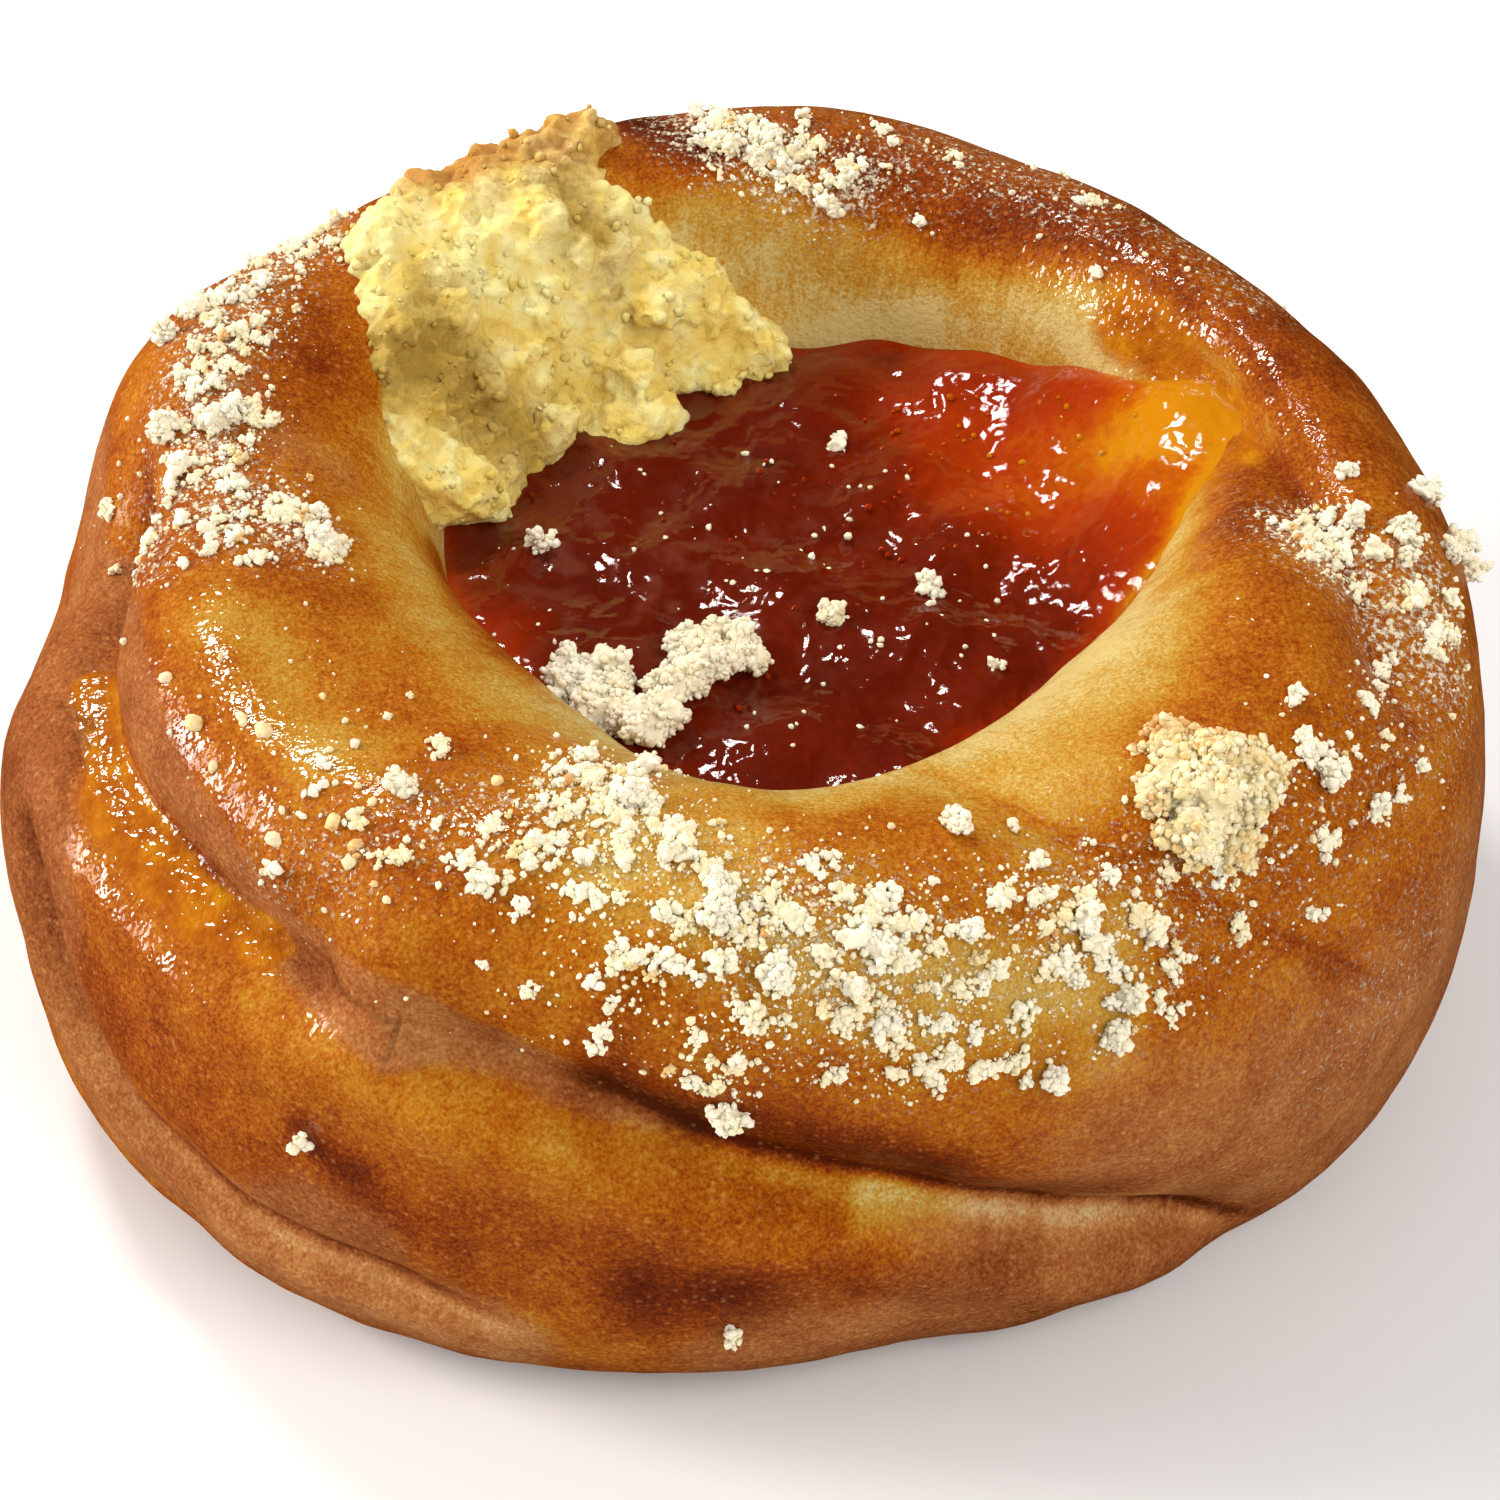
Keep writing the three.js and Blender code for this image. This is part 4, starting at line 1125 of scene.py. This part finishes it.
# finer crumbs: (from, to, stray in degrees, share of them all, how many of them are in clumps)
dustings = [
    ((245, 112), (262, 88), (3, 6), 0.10, 0.8),
    ((250, 84), (284, 66), (6, 10), 0.17, 0.75),
    ((258, 62), (292, 48), (7, 9), 0.12, 0.7),
    ((286, 62), (308, 42), (6, 9), 0.08, 0.7),
    ((274, 44), (294, 28), (8, 7), 0.06, 0.6),
    ((141, 74), (158, 84), (4, 6), 0.06, 0.6),
    ((158, 84), (182, 94), (5, 6), 0.08, 0.7),
    ((184, 100), (196, 110), (4, 5), 0.05, 0.7),
    ((180, 62), (192, 84), (5, 8), 0.03, 0.4),
    ((96, 88), (84, 118), (3, 6), 0.10, 0.8),
    ((78, 92), (40, 90), (10, 12), 0.03, 0.3),
    ((354, 106), (348, 78), (2, 5), 0.05, 0.75),
    ((354, 64), (344, 44), (2.5, 4), 0.03, 0.7),
    ((300, 62), (336, 54), (6, 10), 0.05, 0.4),
    ((222, 90), (246, 66), (8, 12), 0.03, 0.3),
]
branching = {
    "clumps": 300, "grains": (5, 72), "sizes": (0.25, 0.76), "step": 0.70,
    "recent": 9, "wander": 1.2,  # grains in a branch, and how much it bends
}
crumbKinds = {
    # how many, across, how far they lie from their clump's middle, most grains in one,
    # tints (low, high, power), and shape (sides, unevenness, stretch)
    "crumbs_middling": {"count": 200, "sizes": (0.7, 1.5), "spread": 1.6, "most": 12,
                        "tints": (0, 1, 1.6), "shape": (1, 0.3, 0.3)},
    "crumbs_small": {"count": 1900, "sizes": (0.25, 0.6), "spread": 2.8, "most": 0,
                     "tints": (0, 0.7, 1), "shape": (1, 0.2, 0.3)},
    "crumbs_fine": {"count": 3800, "sizes": (0.10, 0.28), "spread": 3.4, "most": 0,
                    "tints": (0, 0.7, 1), "shape": (0, 0.2, 0.3)},
}
degreesPerMm = np.array([1.35, 3.0])  # along the ring and across it


# Middles of the clumps, dusting by dusting
def clumpMiddles():
    rng = np.random.default_rng(77)
    groups = []
    for start, end, stray, share, _ in dustings:
        clumps = max(3, round(branching["clumps"] * share))
        spots = along(start, end, rng.uniform(0, 1, clumps))
        groups.append(spots + np.array(stray) * rng.normal(size=(2, clumps)).T)
    return groups


# Places on the crust, in clumps and between them
def dustPlaces(rng, count, spread):
    places = []
    for (start, end, stray, share, gathered), middles in zip(dustings, clumpMiddles()):
        n = round(count * share)
        picked = middles[rng.integers(0, len(middles), n)]
        clumped = picked + rng.normal(size=(n, 2)) * degreesPerMm * spread * 0.5
        loose = along(start, end, rng.uniform(0, 1, n)) + np.array(stray) * rng.normal(size=(2, n)).T * 1.4
        places.append(np.where(rng.uniform(0, 1, (n, 1)) < gathered, clumped, loose))
    return np.vstack(places)


# Clumps that grew grain by grain into branching shapes, lying on the crust
def branchedClumps(material, lumps):
    rng = np.random.default_rng(88)
    places, sizes, lifts, owner = [], [], [], []
    few, many = branching["grains"]
    small, large = branching["sizes"]
    recent = branching["recent"]
    for number, middle in enumerate(np.vstack(clumpMiddles())):
        count = round(few + (many - few) * rng.uniform() ** 2.2)
        spots = [np.zeros(2)]
        lean = rng.uniform(0, 2 * math.pi)
        grown = [large * rng.uniform(0.6, 1.0)]
        for i in range(count):
            parent = rng.integers(max(0, len(spots) - recent), len(spots))
            if i % recent == 0:
                lean = rng.uniform(0, 2 * math.pi)
                parent = rng.integers(0, len(spots))
            size = small + (large - small) * rng.uniform() ** 2.4
            turn = lean + rng.normal() * branching["wander"]
            away = branching["step"] * (grown[parent] + size) / 2
            spots.append(spots[parent] + away * np.array([math.cos(turn), math.sin(turn)]))
            grown.append(size)
        places.extend(middle + np.array(spots) * degreesPerMm)
        sizes.extend(grown)
        lifts.extend(0.15 * size + 0.4 * size * rng.uniform() for size in grown)
        owner.extend([number] * len(spots))
    places, sizes, owner = np.array(places), np.array(sizes), np.array(owner)
    middles, _ = surfaceAt(places[:, 0], places[:, 1], np.array(lifts))
    clear = isClear(middles, lumps, 0.2)
    middles, radii, owner = middles[clear], sizes[clear] / 2, owner[clear]
    scatter("crumbs_clumped", rng, middles, radii, material, (0, 0.6, 1), owner=owner)


# Clear of the patch, and so far above the jam
def isClear(middles, lumps, aboveJam):
    apart = np.linalg.norm(middles[:, None] - lumps[None, :, :3], axis=2)
    height = middles[:, 2] - jamHeight(middles[:, 0], middles[:, 1])
    return np.all(apart > lumps[None, :, 3] * 0.9, axis=1) & (height > aboveJam)


def makeCrumbs(material):
    middles, radii, normals = solidCrumbs()
    roughLumps("crumbs_large", np.random.default_rng(97), middles, radii * 0.95, normals, material, 20)
    lumps = patchLumps()
    branchedClumps(material, lumps)
    for seed, (name, kind) in enumerate(crumbKinds.items()):
        rng = np.random.default_rng(200 + seed)
        places = dustPlaces(rng, kind["count"], kind["spread"])
        low, high = kind["sizes"]
        size = low + (high - low) * rng.uniform(0, 1, len(places)) ** 2.0
        middles, normals = surfaceAt(places[:, 0], places[:, 1], size * 0.22)
        clear = isClear(middles, lumps, -0.5)
        middles, radii, owner = middles[clear], size[clear] / 2, None
        clustered = kind["most"] > 0
        if clustered:
            middles, radii, owner = clusterGrains(rng, middles, radii, normals[clear], kind["most"])
        scatter(name, rng, middles, radii, material, kind["tints"], kind["shape"], owner, clustered)


# The two heaps of crumbs and the crumbs on the jam
def makeHeaps(material):
    heap = np.array(crustHeap)
    middles, normals = surfaceAt(heap[:, 0], heap[:, 1], heap[:, 3])
    rng = np.random.default_rng(11)
    roughLumps("heap_right", rng, middles, heap[:, 2], normals, material, 40, ["crumb_right"], 0.62)
    upward = np.array([0, 0, 1.0])
    for name, lumps, seed, most, replaces in (
        ("heap_front", jamHeap, 13, 34, ["crumb_front"]), ("crumbs_on_jam", jamCrumbs, 53, 16, []),
    ):
        heap = np.array(lumps)
        x, y = heap[:, 0] + ring["centre"][0], heap[:, 1] + ring["centre"][1]
        middles = np.column_stack([x, y, jamHeight(x, y) + heap[:, 3]])
        normals = np.tile(upward, (len(heap), 1))
        rng = np.random.default_rng(seed)
        roughLumps(name, rng, middles, heap[:, 2], normals, material, most, replaces)


jamDust = {"count": 110, "reach": 21, "sizes": (0.12, 0.38)}


def makeJamDust(material):
    rng = np.random.default_rng(61)
    count = jamDust["count"]
    away, turn = jamDust["reach"] * np.sqrt(rng.uniform(0, 1, count)), rng.uniform(0, 2 * math.pi, count)
    x, y = ring["centre"][0] + away * np.cos(turn), ring["centre"][1] + 0.8 * away * np.sin(turn)
    middles = np.column_stack([x, y, jamHeight(x, y) + 0.08])
    radii = rng.uniform(*jamDust["sizes"], count) * rng.uniform(0.6, 1, count)
    scatter("crumbs_fine_on_jam", rng, middles, radii, material, (0, 0.4, 1), (1, 0.25, 0.3), smooth=True)


granules = {"count": 17, "sizes": (0.25, 0.62), "directions": (204, 242), "angles": (62, 104)}


def makeGranules(material):
    rng = np.random.default_rng(77)
    count = granules["count"]
    direction, angle = rng.uniform(*granules["directions"], count), rng.uniform(*granules["angles"], count)
    size = rng.uniform(*granules["sizes"], count)
    middles, _ = surfaceAt(direction, angle, 0.05 * size)
    scatter("granules", rng, middles, size, material, (0.6, 0.95, 1), (2, 0.22, 0.35), smooth=True)


def crumbMaterial():
    s = Shader("crumb")
    tint = s.attribute("tint")
    tone = s.plus(tint, s.times(s.plus(s.grain(0.6, 3), -0.5), 0.7))
    shade = s.ramp(tone, [
        (0.0, 255, 248, 226), (0.50, 252, 238, 198), (0.80, 244, 218, 156),
        (1.0, 222, 166, 104),
    ])
    s.set(Base_Color=shade, Roughness=0.9, Specular_IOR_Level=0.1)
    s.set(Normal=s.bump((s.grain(0.35, 3, 0.7), 0.14)))
    return s.material


# floor, light and camera

studio = {
    "lookAt": (0.5, -1.0, 18.5), "elevation": 44, "distance": 300, "sensor": 36, "widthAtLook": 114,
    "lights": {
        "key": {"direction": (-0.88, 0.10, 0.46), "distance": 700, "size": 190, "power": 2.5,
                "tone": (1.0, 0.95, 0.87), "reflected": True},
        "back": {"direction": (-0.32, 0.45, 0.84), "distance": 700, "size": 130, "power": 1.9,
                 "tone": (1.0, 0.97, 0.92), "reflected": True},
        "glint": {"direction": (-0.965, -0.035, 0.262), "distance": 700, "size": 190, "power": 1.8,
                  "tone": (1.0, 0.97, 0.92), "reflected": True},
        "fill": {"direction": (0.55, -0.6, 0.75), "distance": 900, "size": 700, "power": 4.3,
                 "tone": (1.0, 0.98, 0.95), "reflected": False},
    },
    "world": 0.46, "floorTone": (0.93, 0.93, 0.93), "floorHalf": 3000, "floorGap": 0.05,
}


def addLight(name, data):
    lamp = bpy.data.lights.new(name, "AREA")
    lamp.shape = "DISK"
    lamp.size = data["size"] * mm
    lamp.energy = data["power"]
    lamp.color = data["tone"]
    light = bpy.data.objects.new(name, lamp)
    way = Vector(data["direction"]).normalized()
    light.location = way * data["distance"] * mm
    light.rotation_euler = way.to_track_quat("Z", "Y").to_euler()
    light.visible_glossy = data["reflected"]
    bpy.context.scene.collection.objects.link(light)


def makeStudio():
    scene = bpy.context.scene
    floorMesh = bpy.data.meshes.new("floor")
    half = studio["floorHalf"] * mm
    corners = [(-half, -half, 0), (half, -half, 0), (half, half, 0), (-half, half, 0)]
    floorMesh.from_pydata(corners, [], [(0, 1, 2, 3)])
    floor = bpy.data.objects.new("floor", floorMesh)
    floor.location.z = -studio["floorGap"] * mm
    finish = bpy.data.materials.new("floor")
    finish.use_nodes = True
    surface = finish.node_tree.nodes["Principled BSDF"]
    surface.inputs["Base Color"].default_value = (*studio["floorTone"], 1)
    surface.inputs["Roughness"].default_value = 0.9
    floorMesh.materials.append(finish)
    floor.visible_glossy = False
    scene.collection.objects.link(floor)

    for name, data in studio["lights"].items():
        addLight(name, data)
    world = bpy.data.worlds.new("world")
    scene.world = world
    world.use_nodes = True
    world.node_tree.nodes["Background"].inputs["Color"].default_value = (1, 1, 1, 1)
    world.node_tree.nodes["Background"].inputs["Strength"].default_value = studio["world"]
    world.cycles_visibility.glossy = False
    scene.cycles.max_bounces = 4
    scene.cycles.diffuse_bounces = 2
    scene.cycles.glossy_bounces = 2
    scene.view_settings.view_transform = "Standard"

    lens = bpy.data.cameras.new("camera")
    lens.sensor_width = studio["sensor"]
    lens.lens = studio["sensor"] * studio["distance"] / studio["widthAtLook"]
    lens.clip_start = 0.01
    camera = bpy.data.objects.new("camera", lens)
    tilt = math.radians(studio["elevation"])
    back = Vector((0, -math.cos(tilt), math.sin(tilt)))
    camera.location = (Vector(studio["lookAt"]) + back * studio["distance"]) * mm
    camera.rotation_euler = back.to_track_quat("Z", "Y").to_euler()
    scene.collection.objects.link(camera)
    scene.camera = camera
    print(f"studio: a floor, {len(studio['lights'])} lights and a camera")


makeDough(crustMaterial())
jamFinish = jamMaterial()
makeJam(jamFinish)
makeBeads(jamFinish)
makeCrumble(crumbleMaterial())
crumbFinish = crumbMaterial()
makeHeaps(crumbFinish)
makeJamDust(crumbFinish)
makeGranules(crumbFinish)
makeCrumbs(crumbFinish)
makeStudio()
print("all pieces made")
